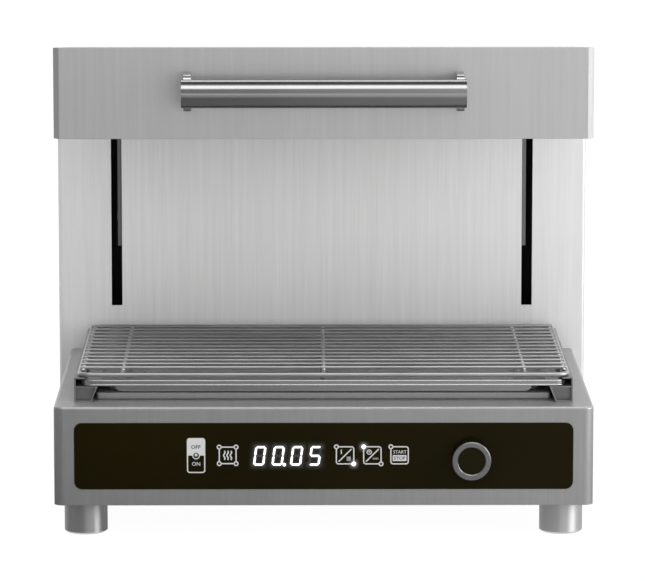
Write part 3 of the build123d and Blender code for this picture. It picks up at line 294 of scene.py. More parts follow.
def plain(name, recipe, metal):
    # Small marks and broad clouds change the tone and the gloss together
    material, tree, shader, coords = newFinish(name)
    marks = noiseAt(tree, coords, recipe["waves"], marking["detail"])
    cloud = noiseAt(tree, coords, marking["cloudWaves"], marking["cloudDetail"], marking["cloudShift"])
    both = meanOf(tree, marks, cloud)
    colour = varied(tree, spread(tree, both, 0.0, 1.0), recipe["tone"], recipe["vary"])
    smooth, coarse = (recipe["rough"] * (1 + way * marking["roughShare"]) for way in (-1, 1))
    rough = spread(tree, both, smooth, coarse)
    ridges = bumps(tree, marks, marking["bump"])
    link(tree, shader, Base_Color=colour, Roughness=rough, Normal=ridges, Metallic=metal)
    if "turned" in recipe:  # lathe marks go round the piece, so lights draw upright stripes
        roundWay = addNode(tree, "ShaderNodeTangent", direction_type="RADIAL", axis="Z").outputs[0]
        link(tree, shader, Anisotropic=recipe["turned"], Anisotropic_Rotation=marking["latheTurn"])
        link(tree, shader, Tangent=roundWay)
    if "gloss" in recipe:
        link(tree, shader, Specular_IOR_Level=recipe["gloss"])
    return material


# Element tube: steel that heat has browned in bands, with a blue bloom
elementHeat = {
    "dark": (0.055, 0.050, 0.048),
    "brown": (0.15, 0.115, 0.085),
    "bandWaves": (18, 5, 5),
    "bloom": (0.10, 0.11, 0.14),
    "bloomWaves": (45, 45, 45),
    "bloomShift": (5, 5, 5),
    "bloomFrom": (0.55, 0.75),  # the part of the noise that blooms
    "gritWaves": (900, 900, 900),
    "detail": 2.0,
    "rough": (0.42, 0.58),
    "bump": (0.2, 0.0001),
    "metal": 0.85,
}


def heated(name, recipe):
    # Bands from dark to brown, with patches of bloom added
    material, tree, shader, coords = newFinish(name)
    bands = noiseAt(tree, coords, recipe["bandWaves"])
    patches = noiseAt(tree, coords, recipe["bloomWaves"], recipe["detail"], recipe["bloomShift"])
    grit = noiseAt(tree, coords, recipe["gritWaves"], recipe["detail"])
    browned = mixColour(tree, spread(tree, bands, 0.0, 1.0), recipe["dark"], recipe["brown"])
    blooming = spread(tree, patches, 0.0, 1.0, *recipe["bloomFrom"])
    bloomed = mixColour(tree, blooming, (0, 0, 0), recipe["bloom"])
    colour = mixColour(tree, 1.0, browned, bloomed, "ADD")
    rough = spread(tree, grit, *recipe["rough"])
    ridges = bumps(tree, grit, recipe["bump"])
    link(tree, shader, Base_Color=colour, Roughness=rough, Normal=ridges, Metallic=recipe["metal"])
    return material


# Black pane: back painted, with a faint warm cast and finger marks that only the gloss shows
pane = {
    "tone": (0.0070, 0.0050, 0.0003),
    "vary": 0.15,
    "cloudWaves": (7, 7, 7),
    "cloudDetail": 2.0,
    "fingerWaves": (60, 60, 60),
    "fingerDetail": 4.0,
    "rough": (0.09, 0.18),
    "gloss": 0.095,
}


def blackPane(name, recipe):
    material, tree, shader, coords = newFinish(name)
    fingers = noiseAt(tree, coords, recipe["fingerWaves"], recipe["fingerDetail"])
    cloud = noiseAt(tree, coords, recipe["cloudWaves"], recipe["cloudDetail"])
    colour = varied(tree, spread(tree, cloud, 0.0, 1.0), recipe["tone"], recipe["vary"])
    rough = spread(tree, fingers, *recipe["rough"])
    link(tree, shader, Base_Color=colour, Roughness=rough, Specular_IOR_Level=recipe["gloss"])
    return material, tree, shader


# Circuit board: green lacquer over a mesh of copper tracks
board = {
    "lacquer": (0.010, 0.065, 0.028),
    "track": (0.03, 0.14, 0.06),
    "waves": (240, 240, 240),
    "trackEdge": (0.40, 0.46),
    "rough": 0.35,
    "bump": (0.3, 0.0001),
}


def circuit(name, recipe):
    # Tracks lie along the borders of square cells
    material, tree, shader, coords = newFinish(name)
    placed = addNode(tree, "ShaderNodeMapping", {"Vector": coords, "Scale": recipe["waves"]}).outputs[0]
    cells = addNode(tree, "ShaderNodeTexVoronoi", {"Vector": placed}, distance="CHEBYCHEV")
    tracks = spread(tree, cells.outputs["Distance"], 0.0, 1.0, *recipe["trackEdge"])
    colour = mixColour(tree, tracks, recipe["lacquer"], recipe["track"])
    ridges = bumps(tree, tracks, recipe["bump"])
    link(tree, shader, Base_Color=colour, Roughness=recipe["rough"], Normal=ridges)
    return material


finishes = {name: brushed(name, recipe) for name, recipe in brushedSteel.items()}
finishes.update({name: plain(name, recipe, 1.0) for name, recipe in plainMetals.items()})
finishes.update({name: plain(name, recipe, 0.0) for name, recipe in plainOthers.items()})
finishes["elementTube"] = heated("elementTube", elementHeat)
finishes["glassBlack"] = blackPane("glassBlack", pane)[0]
finishes["boardGreen"] = circuit("boardGreen", board)


def camel(slot):
    head, *rest = slot.split("_")
    return head + "".join(word.capitalize() for word in rest)


for part in frame["record"]["subparts"]:
    nodes[part["node"]].material_slots[0].material = finishes[camel(part["material_slot"])]
print("finishes:", len(finishes))


def newPiece(name, vertices, faces, material, body, smooth=False):
    # A mesh in metres whose object stays at the origin and rides on a body
    mesh = bpy.data.meshes.new(name)
    mesh.from_pydata(np.asarray(vertices, float).reshape(-1, 3).tolist(), [], faces)
    mesh.polygons.foreach_set("use_smooth", [smooth] * len(mesh.polygons))
    mesh.materials.append(material)
    mesh.update()
    piece = bpy.data.objects.new(name, mesh)
    scene.collection.objects.link(piece)
    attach(piece, body)
    return piece


def gridFaces(rows, columns, closeRows=False, closeColumns=False, start=0):
    # Quads of a grid of points, joined end to end where a direction closes
    row = np.arange(rows if closeRows else rows - 1)[:, None]
    column = np.arange(columns if closeColumns else columns - 1)[None, :]
    nextRow, nextColumn = (row + 1) % rows, (column + 1) % columns
    corners = [row * columns + column, nextRow * columns + column]
    corners += [nextRow * columns + nextColumn, row * columns + nextColumn]
    return (np.stack([corner.ravel() for corner in np.broadcast_arrays(*corners)], 1) + start).tolist()


def cappedFaces(rings, points):
    # Walls between rings of points, with a cap on the first ring and on the last
    walls = [face[::-1] for face in gridFaces(rings, points, closeColumns=True)]
    last = (rings - 1) * points
    return walls + [list(range(points))[::-1], list(range(last, last + points))]


def ringPath(centre, radius, steps=32):
    # Points round a circle: centre + radius * (cos, sin)
    angle = math.tau * np.arange(steps) / steps
    return np.asarray(centre) + radius * np.stack([np.cos(angle), np.sin(angle)], 1)


def roundedPath(centre, width, height, radius, grown=0.0, steps=7):
    # A rectangle whose corners are quarter circles: corner centres + (radius + grown) * (cos, sin).
    # An array of growths gives a ring of points for each.
    quarter = np.linspace(0, math.pi / 2, steps)
    angle = (quarter[None, :] + np.arange(4)[:, None] * math.pi / 2).ravel()
    turn = np.repeat(np.array([[1, 1], [-1, 1], [-1, -1], [1, -1]]), steps, 0)
    corner = turn * np.array([width / 2 - radius, height / 2 - radius])
    reach = np.asarray(radius + grown)[..., None, None]
    return np.asarray(centre) + corner + reach * np.stack([np.cos(angle), np.sin(angle)], 1)


def raisedTo(rings, heights):
    # Flat rings, each at its own height
    up = np.broadcast_to(np.asarray(heights)[:, None, None], (*rings.shape[:2], 1))
    return np.concatenate([rings, up], -1)


# Prints on the pane: flat lines and fields a hair thick, worked out in millimetres on the pane's face
paneLow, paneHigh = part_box("control_glass")
perMetre = 1000  # millimetres
printing = {"thick": 0.06, "line": 1.25, "raised": 0.6}  # raised: over the pane's middle
paneFace = paneLow.y * perMetre
printMiddle = (paneLow.z + paneHigh.z) / 2 * perMetre + printing["raised"]
lifts = {  # how far prints stand off, so that one covers another
    "fill": -0.02,
    "rim": 0.01,
    "ring": 0.02,
    "bar": 0.02,
    "pip": 0.04,
    "hole": 0.05,
    "lamp": 0.05,
    "word": 0.05,
    "dot": 0.06,
}


def onPane(flat, depth):
    # Flat x and z from the prints' middle and a depth in front of the pane become points in metres
    placed = np.broadcast_arrays(flat[..., 0], paneFace - depth, flat[..., 1] + printMiddle)
    return np.stack(placed, -1) / perMetre


class Prints:
    # Collects the shapes of one ink and turns them into one mesh
    def __init__(self):
        self.points, self.faces, self.count = [], [], 0

    def keep(self, flat, depth, faces):
        placed = onPane(flat, depth).reshape(-1, 3)
        self.points.append(placed)
        self.faces += faces
        self.count += len(placed)

    def field(self, outline, lift=0.0):
        # A filled outline, counter-clockwise: its front face and a wall down to the pane
        size = len(outline)
        depth = np.array([[0.0], [lift + printing["thick"]]])
        walls = [face[::-1] for face in gridFaces(2, size, closeColumns=True, start=self.count)]
        front = list(range(self.count + size, self.count + 2 * size))
        self.keep(np.stack([outline, outline]), depth, walls + [front])

    def line(self, path, width=printing["line"], closed=True):
        # A strip along a path: at each point the normal is the mean of its two runs, scaled for the corner
        runs = np.roll(path, -1, 0) - path
        normals = np.stack([-runs[:, 1], runs[:, 0]], 1) / np.linalg.norm(runs, axis=1, keepdims=True)
        before = np.roll(normals, 1, 0)
        if not closed:
            normals[-1] = before[-1]
            before[0] = normals[0]
        mean = (normals + before) / 2
        half = mean / (mean**2).sum(1, keepdims=True) * width / 2
        strip = np.stack([path - half, path - half, path + half, path + half], 1)
        depth = np.array([0.0, printing["thick"], printing["thick"], 0.0])
        faces = gridFaces(len(path), 4, closeRows=closed, start=self.count)
        if not closed:
            last = self.count + 4 * (len(path) - 1)
            faces += [[self.count + i for i in (0, 1, 2, 3)], [last + i for i in (3, 2, 1, 0)]]
        self.keep(strip, depth, faces)

    def piece(self, name, material):
        return newPiece(name, np.concatenate(self.points), self.faces, material, "base")


def lettering(name, words, material, lift=0.0):
    # Each word is set flat, made a mesh, then stood up on the pane at its size: x stays, height becomes z
    points, faces, count = [], [], 0
    for word in words:
        curve = bpy.data.curves.new(name, "FONT")
        curve.body = word["text"]
        curve.align_x = "CENTER"
        curve.align_y = "CENTER"
        curve.resolution_u = 3
        curve.offset = word.get("bold", 0.0)
        setter = bpy.data.objects.new(name, curve)
        scene.collection.objects.link(setter)
        shown = setter.evaluated_get(bpy.context.evaluated_depsgraph_get())
        flat = bpy.data.meshes.new_from_object(shown)
        letters = np.zeros(len(flat.vertices) * 3)
        flat.vertices.foreach_get("co", letters)
        letters = letters.reshape(-1, 3)[:, :2]
        low, high = letters.min(0), letters.max(0)
        sized = (letters - (low + high) / 2) / (high - low) * np.array(word["size"])
        points.append(onPane(word["centre"] + sized, printing["thick"] + lift))
        faces += [[count + i for i in polygon.vertices] for polygon in flat.polygons]
        count += len(letters)
        bpy.data.objects.remove(setter)
        bpy.data.meshes.remove(flat)
        bpy.data.curves.remove(curve)
    return newPiece(name, np.concatenate(points), faces, material, "base")


# Screen inks: slightly mottled, lit from behind where they glow
inkMottle = {"waves": (700, 700, 700), "detail": 2.0, "shares": (0.92, 1.06), "rough": (0.45, 0.6)}


def inkFinish(name, tone, glows=0.0):
    material, tree, shader, coords = newFinish(name)
    mottle = noiseAt(tree, coords, inkMottle["waves"], inkMottle["detail"])
    thin, full = (toned(tone, share) for share in inkMottle["shares"])
    colour = mixColour(tree, spread(tree, mottle, 0.0, 1.0), thin, full)
    link(tree, shader, Base_Color=colour, Roughness=spread(tree, mottle, *inkMottle["rough"]))
    if glows:
        link(tree, shader, Emission_Color=(*tone, 1.0), Emission_Strength=glows)
    return material


lightInk = inkFinish("lightInk", (0.47, 0.47, 0.47))
dimInk = inkFinish("dimInk", (0.028, 0.027, 0.024))
darkInk = inkFinish("darkInk", (0.012, 0.011, 0.009))
litInk = inkFinish("litInk", (0.95, 0.96, 1.0), 1.0)
light, dark, lit, unlit = Prints(), Prints(), Prints(), Prints()

# Switch: a tall frame whose upper half is filled, with a pip in the middle
switch = {"centre": (-135.1, 0.25), "wide": 18.2, "tall": 36.4, "corner": 2.4, "fillCorner": 0.4}
pip = {"radius": 3.1, "rim": 1.0, "dot": 1.5, "dotAbove": 0.6}
switchAt = np.array(switch["centre"])
light.line(roundedPath(switchAt, switch["wide"], switch["tall"], switch["corner"]))
upperAt = switchAt + (0, switch["tall"] / 4)
light.field(roundedPath(upperAt, switch["wide"], switch["tall"] / 2, switch["fillCorner"]), lifts["fill"])
light.field(ringPath(switchAt, pip["radius"] + pip["rim"]), lifts["rim"])
dark.field(ringPath(switchAt, pip["radius"]), lifts["pip"])
light.field(ringPath(switchAt + (0, pip["dotAbove"]), pip["dot"]), lifts["dot"])

# Keys: rounded squares with hollow rings and lamps on some corners, in millimetres from the prints' middle
keys = {
    "heat": {"centre": (-101.7, 0.4), "size": 17.8, "rings": [(-1, 1), (1, 1), (1, -1), (-1, -1)]},
    "degree": {"centre": (22.6, 0.3), "size": 18.4, "rings": [(-1, 1)], "lamp": (1, -1)},
    "timer": {"centre": (51.5, 0.3), "size": 18.4, "rings": [(1, -1)], "lamp": (-1, 1)},
    "start": {"centre": (80.3, 0.3), "size": 18.4, "rings": [(-1, 1)]},
}
keyTrim = {"corner": 2.4, "ring": 2.65, "hole": 1.45, "lamp": 2.3}


def cornerOf(key, signs):
    return np.array(key["centre"]) + np.array(signs) * key["size"] / 2


for key in keys.values():
    light.line(roundedPath(key["centre"], key["size"], key["size"], keyTrim["corner"]))
    for signs in key["rings"]:
        light.field(ringPath(cornerOf(key, signs), keyTrim["ring"]), lifts["ring"])
        dark.field(ringPath(cornerOf(key, signs), keyTrim["hole"]), lifts["hole"])
    if "lamp" in key:
        lit.field(ringPath(cornerOf(key, key["lamp"]), keyTrim["lamp"]), lifts["lamp"])
heatAt, degreeAt, timerAt, startAt = (np.array(key["centre"]) for key in keys.values())

# Heat sign: three waves, x = swing * sin(turns of a circle), with z going up evenly
heatSign = {"places": (-3.5, 0, 3.5), "swing": 0.75, "turns": 1.5, "tall": 9.6, "line": 1.35, "points": 15}
climb = np.linspace(0, 1, heatSign["points"])
for place in heatSign["places"]:
    swing = heatSign["swing"] * np.sin(climb * heatSign["turns"] * math.tau)
    wave = np.stack([place + swing, heatSign["tall"] * (climb - 0.5)], 1)
    light.line(heatAt + wave, heatSign["line"], closed=False)

# Degree and timer signs: a slash across each, with a small sign on either side of it
slashEnd = 6.8
for keyAt in (degreeAt, timerAt):
    light.line(keyAt + np.array([(-slashEnd, -slashEnd), (slashEnd, slashEnd)]), closed=False)
warmth = {"path": [(-3.6, 6.2), (-4.3, 4.6), (-3.7, 3.2), (-4.4, 1.6)], "line": 1.0}
light.line(degreeAt + np.array(warmth["path"]), warmth["line"], closed=False)
grid = {"centre": (3.8, -3.6), "half": (2.2, 2.3), "steps": (-1.5, 0, 1.5), "line": 0.8}
gridAt = degreeAt + grid["centre"]
halfWide, halfTall = grid["half"]
for step in grid["steps"]:
    light.line(gridAt + np.array([(-halfWide, step), (halfWide, step)]), grid["line"], closed=False)
    light.line(gridAt + np.array([(step, -halfTall), (step, halfTall)]), grid["line"], closed=False)
dial = {"centre": (-3.4, 3.5), "radius": 2.3, "line": 0.9}
hands = {"path": [(-0.9, 0.9), (0, -0.2), (0.9, 0.9)], "line": 0.7}
dialAt = timerAt + dial["centre"]
light.line(ringPath(dialAt, dial["radius"]), dial["line"])
light.line(dialAt + np.array(hands["path"]), hands["line"], closed=False)
stopField = {"below": 3.0, "wide": 14.6, "tall": 6.4, "corner": 0.5}
stopAt = startAt - (0, stopField["below"])
light.field(roundedPath(stopAt, stopField["wide"], stopField["tall"], stopField["corner"]))

# Digits: seven bars with pointed ends, leaning to the right, and a point
digits = {
    "text": "0005",
    "first": -67.75,
    "pitch": 19.55,
    "below": 0.2,
    "wide": 11.8,
    "tall": 21.0,
    "bar": 2.15,
    "gap": 0.12,
    "lean": 0.13,
    "point": 1.75,
    "pointAfter": 1.33,  # in pitches from the first digit
}
barEnds = {  # each bar from one corner to another, in halves of the width and height
    "a": ((-1, 1), (1, 1)),
    "b": ((1, 1), (1, 0)),
    "c": ((1, 0), (1, -1)),
    "d": ((1, -1), (-1, -1)),
    "e": ((-1, -1), (-1, 0)),
    "f": ((-1, 0), (-1, 1)),
    "g": ((-1, 0), (1, 0)),
}
barsOf = {"0": "abcdef", "5": "acdfg"}
dotRun = (0.01, 0)  # a dot's run has next to no length
barReach = np.array([digits["wide"] - digits["bar"], digits["tall"] - digits["bar"]]) / 2
barRuns = []


def leaned(points):
    # x grows with the height
    return points + points[:, 1:] * (digits["lean"], 0)


for index, figure in enumerate(digits["text"]):
    digitAt = np.array([digits["first"] + index * digits["pitch"], -digits["below"]])
    for bar, corners in barEnds.items():
        start, end = np.array(corners) * barReach
        along = (end - start) / np.linalg.norm(end - start)
        across = np.array([-along[1], along[0]]) * digits["bar"] / 2
        tip = along * digits["gap"]
        neck = along * (digits["gap"] + digits["bar"] / 2)
        upright = [start + tip, start + neck - across, end - neck - across]
        upright += [end - tip, end - neck + across, start + neck + across]
        shape = digitAt + leaned(np.array(upright))
        if bar in barsOf[figure]:
            lit.field(shape, lifts["bar"])
            barRuns.append(digitAt + leaned(np.array([start, end])))
        else:
            unlit.field(shape, lifts["bar"])
pointAcross = digits["first"] + digits["pitch"] * digits["pointAfter"]
pointAt = np.array([pointAcross, -digits["below"] - barReach[1]])
lit.field(ringPath(pointAt, digits["point"]), lifts["bar"])
barRuns.append(np.array([pointAt, pointAt + dotRun]))

darkWords = [
    {"text": "OFF", "centre": switchAt + (-0.2, 9.15), "size": (10.0, 3.9), "bold": 0.02},
    {"text": "STOP", "centre": stopAt, "size": (12.6, 3.5), "bold": 0.015},
]
lightWords = [
    {"text": "ON", "centre": switchAt + (0, -9.05), "size": (8.6, 4.1)},
    {"text": "START", "centre": startAt + (0.3, 3.6), "size": (14.0, 3.5)},
    {"text": "min", "centre": timerAt + (3.4, -3.3), "size": (5.6, 2.4)},
]
light.piece("panelPrint", lightInk)
dark.piece("panelInk", darkInk)
lit.piece("panelDigits", litInk)
unlit.piece("panelUnlitBars", dimInk)
lettering("panelWordsDark", darkWords, darkInk, lifts["word"])
lettering("panelWordsLight", lightWords, lightInk)
print("panel printed")

# Glow round the digits and lamps: sheets on the pane whose light fades with the distance from what is lit
glow = {
    "digits": (0.055, 1.7),  # brightness, and millimetres in which it fades
    "lamps": (0.5, 1.3),
    "core": 1.5,  # no fading this near to the middle of a bar
    "step": 0.6,
    "margin": 7.0,
    "border": 2.0,  # width in which the sheet's own edge fades
    "depth": 0.03,
}
glowPane, glowTree, glowShader = blackPane("glowPane", pane)
glowLevel = addNode(glowTree, "ShaderNodeAttribute", attribute_name="glow").outputs["Fac"]
glowColour = mixColour(glowTree, glowLevel, (0, 0, 0), (1, 1, 1))
link(glowTree, glowShader, Emission_Color=glowColour, Emission_Strength=1.0)


def glowSheet(name, runs, bright, fade):
    # Glow = bright * exp(-(distance to the nearest run, less the core) / fade), on a grid of points
    runs = np.asarray(runs, float)
    ends = runs.reshape(-1, 2)
    low, high = ends.min(0) - glow["margin"], ends.max(0) + glow["margin"]
    across, up = (np.arange(low[i], high[i] + glow["step"], glow["step"]) for i in (0, 1))
    flat = np.stack(np.meshgrid(up, across, indexing="ij")[::-1], -1)
    start, run = runs[:, 0], runs[:, 1] - runs[:, 0]
    offset = flat[:, :, None, :] - start
    share = np.clip((offset * run).sum(-1) / (run**2).sum(-1), 0, 1)
    away = np.linalg.norm(offset - share[..., None] * run, axis=-1).min(-1)
    border = np.minimum(flat - low, high - flat).min(-1)
    level = bright * np.exp(-np.maximum(away - glow["core"], 0) / fade)
    level *= np.clip(border / glow["border"], 0, 1)
    placed = onPane(flat, glow["depth"])
    sheet = newPiece(name, placed, gridFaces(*flat.shape[:2]), glowPane, "base")
    sheet.data.attributes.new("glow", "FLOAT", "POINT").data.foreach_set("value", level.ravel())


glowSheet("digitGlow", barRuns, *glow["digits"])
for name, key in (("degreeGlow", keys["degree"]), ("timerGlow", keys["timer"])):
    lampAt = cornerOf(key, key["lamp"])
    glowSheet(name, [[lampAt, lampAt + dotRun]], *glow["lamps"])
print("panel lit")


# Weld beads where the rack's cross wires meet the frame and the ribs: flattened balls, latitude by
# longitude. Their pale tone is partly a painted highlight of the ribs' tops between the wires.
welds = {
    "size": (0.0027, 0.0042, 0.0017),
    "rows": 7,
    "columns": 10,
    "bays": 14,  # between the cross wires
    "inside": 0.003,  # from the frame's side wire to its beads
    "ribs": 0.048,  # from the frame's side to the outer ribs
    "sink": 0.0002,
}
frameLow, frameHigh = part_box("rack_frame")
frameWire = frameHigh.z - frameLow.z
wireStep = (frameHigh.y - frameLow.y - frameWire) / welds["bays"]
wireRows = frameLow.y + frameWire / 2 + wireStep * np.arange(1, welds["bays"])
sideLine = frameHigh.x - frameWire / 2 - welds["inside"]
ribLine = frameHigh.x - welds["ribs"]
weldLines = np.array([-sideLine, -ribLine, 0, ribLine, sideLine])
weldHeight = frameHigh.z - welds["sink"]
latitude = np.linspace(-math.pi / 2, math.pi / 2, welds["rows"])[:, None]
longitude = np.arange(welds["columns"])[None, :] * math.tau / welds["columns"]
girth = np.cos(latitude)
ballAxes = np.broadcast_arrays(girth * np.cos(longitude), girth * np.sin(longitude), np.sin(latitude))
ball = np.stack(ballAxes, -1) * np.array(welds["size"])
weldSpots = np.stack(np.meshgrid(weldLines, wireRows, [weldHeight], indexing="ij"), -1).reshape(-1, 1, 1, 3)
ballFaces = np.array(gridFaces(welds["rows"], welds["columns"], closeColumns=True))
ballStarts = welds["rows"] * welds["columns"] * np.arange(len(weldSpots))
weldFaces = (ballFaces[None] + ballStarts[:, None, None]).reshape(-1, 4).tolist()
newPiece("rackWelds", weldSpots + ball, weldFaces, finishes["weldSteel"], "rack", smooth=True)
print("rack welds:", len(weldSpots))

# Tray support: a shallow upturned pan on the deck, just clear of the tray that slides over it.
# Its wall's profile, a recess, a step and a bend, is carried round a rounded rectangle.
support = {
    "front": 0.0175,  # how far it stays inside the tray's lip on each side
    "back": 0.009,
    "side": 0.016,
    "corner": 0.003,
    "clear": 0.0005,
    "bend": 0.0015,
    "bendSteps": 7,
    "reveal": 0.0012,
    "recess": 0.002,
    "seat": 0.00002,  # off the deck, so that the faces don't fight
}
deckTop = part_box("left_rack_rail")[0].z
trayLow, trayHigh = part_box("drip_tray")
supportFront, supportBack = trayLow.y + support["front"], trayHigh.y - support["back"]
supportWide = trayHigh.x - trayLow.x - 2 * support["side"]
supportAt = (0.0, (supportFront + supportBack) / 2)
supportTop = trayLow.z - support["clear"]
bendAngle = np.linspace(0, math.pi / 2, support["bendSteps"])
insets = np.concatenate([[support["recess"]] * 2, [0.0], support["bend"] * (1 - np.cos(bendAngle))])
wallHeights = deckTop + np.array([support["seat"], support["reveal"], support["reveal"]])
bendHeights = supportTop - support["bend"] * (1 - np.sin(bendAngle))
supportFlat = roundedPath(supportAt, supportWide, supportBack - supportFront, support["corner"], -insets)
supportRings = raisedTo(supportFlat, np.concatenate([wallHeights, bendHeights]))
supportFaces = cappedFaces(*supportRings.shape[:2])
newPiece("traySupport", supportRings, supportFaces, finishes["baseSteel"], "base")

# Tray apron: the steep front of the tray's tub, a sheet whose lower corners are corner * (cos - 1, sin + 1)
apron = {
    "width": 0.446,
    "sheet": 0.001,
    "corner": 0.008,
    "cornerSteps": 7,
    "raised": 0.0003,  # over the tray's underside
    "stand": 0.0006,
    "flange": 0.0172,  # from the deck up to the tray's flange
    "tub": 0.0205,  # from the lip's front back to the tub
}
apronLow = trayLow.z + apron["raised"]
apronTall = deckTop + apron["flange"] - apronLow
apronBack = trayLow.y + apron["tub"] - apron["stand"]
cornerAngle = np.linspace(-math.pi / 2, 0, apron["cornerSteps"])
lowerCorner = np.stack([np.cos(cornerAngle) - 1, np.sin(cornerAngle) + 1], 1) * apron["corner"]
rightSide = np.concatenate([lowerCorner, [(0, apronTall)]]) + (apron["width"] / 2, 0)
apronOutline = np.concatenate([rightSide, (rightSide * (-1, 1))[::-1]])
apronDepths = np.array([[apronBack], [apronBack - apron["sheet"]]])
apronAxes = np.broadcast_arrays(apronOutline[:, 0], apronDepths, apronOutline[:, 1] + apronLow)
apronRings = np.stack(apronAxes, -1)
apronFaces = cappedFaces(*apronRings.shape[:2])
newPiece("trayApron", apronRings, apronFaces, finishes["traySteel"], "tray")

# Tray hem: two rolled beads round the lip. Each ring is the lip's outline, grown and raised by a point
# of the bead's round section, radius * (cos, sin).
hem = {
    "radius": 0.001,
    "proud": 0.0007,  # how far the beads stand past the lip
    "corner": 0.014,
    "sides": 10,
    "drops": (0.0005, 0.0050),  # from the lip's top down to each bead
}
hemAt = (0.0, (trayLow.y + trayHigh.y) / 2)
hemAngle = np.arange(hem["sides"]) * math.tau / hem["sides"]
hemGrown = hem["proud"] + hem["radius"] * (np.cos(hemAngle) - 1)
hemRings = roundedPath(hemAt, trayHigh.x - trayLow.x, trayHigh.y - trayLow.y, hem["corner"], hemGrown)
hemPoints = hemRings.shape[1]
hemBeads, hemFaces = [], []
for bead, drop in enumerate(hem["drops"]):
    hemBeads.append(raisedTo(hemRings, trayHigh.z - drop + hem["radius"] * np.sin(hemAngle)))
    beadStart = bead * hem["sides"] * hemPoints
    rolled = gridFaces(hem["sides"], hemPoints, closeRows=True, closeColumns=True, start=beadStart)
    hemFaces += [face[::-1] for face in rolled]
newPiece("trayHem", hemBeads, hemFaces, finishes["hemSteel"], "tray", smooth=True)
print("tray support, apron and hem set")


# Stage: pale floor, white surround, soft lamps, and cards that only reflections see
def rayShare(tree):
    # 1 for rays from the camera, from gloss and through glass
    path = addNode(tree, "ShaderNodeLightPath").outputs
    first = sums(tree, "MAXIMUM", path["Is Camera Ray"], path["Is Glossy Ray"])
    return sums(tree, "MAXIMUM", first, path["Is Transmission Ray"])


def stageSheet(name, corners, material):
    mesh = bpy.data.meshes.new(name)
    mesh.from_pydata(corners, [], [[0, 1, 2, 3]])
    mesh.materials.append(material)
    sheet = bpy.data.objects.new(name, mesh)
    scene.collection.objects.link(sheet)
    return sheet


# Floor: near white with the object's shadow where it is seen, grey where it only throws light back
floor = {"glow": 0.96, "shaded": 0.10, "hidden": 0.8, "reach": 25}
floorFinish, floorTree, floorShader = newFinish("floorWhite")[:3]
floorTree.nodes.remove(floorShader)
floorGlow = addNode(floorTree, "ShaderNodeEmission", {"Strength": floor["glow"]}).outputs[0]
shadedTone, hiddenTone = ((floor[way],) * 3 + (1,) for way in ("shaded", "hidden"))
shaded = addNode(floorTree, "ShaderNodeBsdfDiffuse", {"Color": shadedTone}).outputs[0]
hidden = addNode(floorTree, "ShaderNodeBsdfDiffuse", {"Color": hiddenTone}).outputs[0]
seen = addNode(floorTree, "ShaderNodeAddShader", {0: floorGlow, 1: shaded}).outputs[0]
either = addNode(floorTree, "ShaderNodeMixShader", {0: rayShare(floorTree), 1: hidden, 2: seen}).outputs[0]
floorTree.links.new(either, floorTree.nodes["Material Output"].inputs[0])
floorSigns = ((-1, -1), (1, -1), (1, 1), (-1, 1))
stageSheet("floor", [(x * floor["reach"], y * floor["reach"], 0) for x, y in floorSigns], floorFinish)

# Surround: white where it is seen, softer as light
room = {"seen": 1.0, "ambient": 0.8}
world = bpy.data.worlds.new("whiteRoom")
scene.world = world
world.use_nodes = True
roomTree = world.node_tree
roomTree.nodes.clear()
roomSeen, roomLight = (
    addNode(roomTree, "ShaderNodeBackground", {"Color": (1, 1, 1, 1), "Strength": room[way]}).outputs[0]
    for way in ("seen", "ambient")
)
roomMix = addNode(roomTree, "ShaderNodeMixShader", {0: rayShare(roomTree), 1: roomLight, 2: roomSeen})
addNode(roomTree, "ShaderNodeOutputWorld", {0: roomMix.outputs[0]})

softboxes = {
    "topLamp": {"place": (0.3, -1.2, 2.35), "aim": (0, -0.2, 0.4), "size": (2.6, 1.0), "power": 16},
    "sideLamp": {"place": (1.9, -0.75, 0.8), "aim": (0, -0.1, 0.3), "size": (0.8, 1.4), "power": 10},
    "rightLamp": {"place": (2.3, -1.6, 0.5), "aim": (0.1, -0.1, 0.2), "size": (1.25, 1.6), "power": 15},
    "backLamp": {"place": (0.0, 1.3, 2.6), "aim": (0, -0.1, 0.4), "size": (2.4, 0.8), "power": 10},
    "fillLamp": {
        "place": (0.0, -3.5, 1.0),
        "aim": (0, 0, 0.3),
        "size": (3.0, 1.2),
        "power": 34,
        "inGloss": False,
    },
}
for name, box in softboxes.items():
    data = bpy.data.lights.new(name, "AREA")
    data.shape = "RECTANGLE"
    data.size, data.size_y = box["size"]
    data.energy = box["power"]
    lamp = bpy.data.objects.new(name, data)
    lamp.location = box["place"]
    lamp.rotation_euler = (Vector(box["aim"]) - Vector(box["place"])).to_track_quat("-Z", "Y").to_euler()
    lamp.visible_camera = False
    lamp.visible_glossy = box.get("inGloss", True)
    scene.collection.objects.link(lamp)

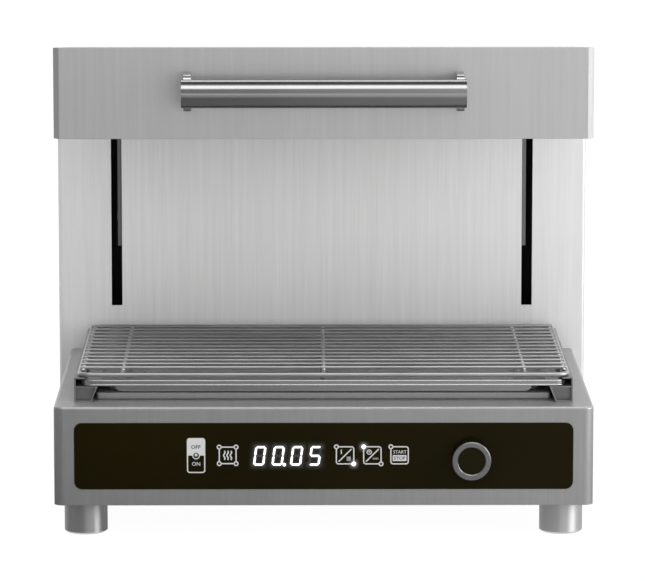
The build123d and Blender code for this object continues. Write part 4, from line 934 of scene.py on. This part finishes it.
# Cards: the tone goes from tone - rise at x = -span to tone + rise at x = span.
# A card that pales turns white from the first y to the second.
cards = {
    "floorCard": {
        "corners": [(-1, -2.0, 0.002), (1, -2.0, 0.002), (1, 0.35, 0.002), (-1, 0.35, 0.002)],
        "tone": 0.34,
        "rise": 0.18,
        "span": 0.3,
        "pales": (-1.3, -2.0),
    },
    "leftCard": {
        "corners": [(-0.8, -4.4, 0), (-0.8, 0.1, 0), (-0.8, 0.1, 1.7), (-0.8, -4.4, 1.7)],
        "tone": 0.36,
        "rise": 0.0,
        "span": 1.0,
    },
    "roofCard": {
        "corners": [(-2, -0.45, 2.1), (2, -0.45, 2.1), (2, 0.75, 2.1), (-2, 0.75, 2.1)],
        "tone": 0.16,
        "rise": 0.0,
        "span": 1.0,
    },
    "farCard": {
        "corners": [(-2, -4.6, 0.002), (2, -4.6, 0.002), (2, -2.0, 0.002), (-2, -2.0, 0.002)],
        "tone": 0.58,
        "rise": 0.42,
        "span": 0.5,
    },
    "frontCard": {
        "corners": [(-3, -6, 1.3), (3, -6, 1.3), (3, -6, 6), (-3, -6, 6)],
        "tone": 0.55,
        "rise": 0.45,
        "span": 0.9,
    },
}
for name, recipe in cards.items():
    cardFinish, cardTree, cardShader, cardCoords = newFinish(name)
    cardTree.nodes.remove(cardShader)
    right, back = addNode(cardTree, "ShaderNodeSeparateXYZ", {0: cardCoords}).outputs[:2]
    darkest, palest = recipe["tone"] - recipe["rise"], recipe["tone"] + recipe["rise"]
    shine = spread(cardTree, right, darkest, palest, -recipe["span"], recipe["span"])
    if "pales" in recipe:
        whitened = spread(cardTree, back, 0.0, 1.0, *recipe["pales"])
        shine = mixNumber(cardTree, whitened, shine, 1.0)
    shining = addNode(cardTree, "ShaderNodeEmission", {"Strength": shine}).outputs[0]
    cardTree.links.new(shining, cardTree.nodes["Material Output"].inputs[0])
    card = stageSheet(name, recipe["corners"], cardFinish)
    card.visible_camera = False
    card.visible_diffuse = False
    card.visible_shadow = False
print("stage set")
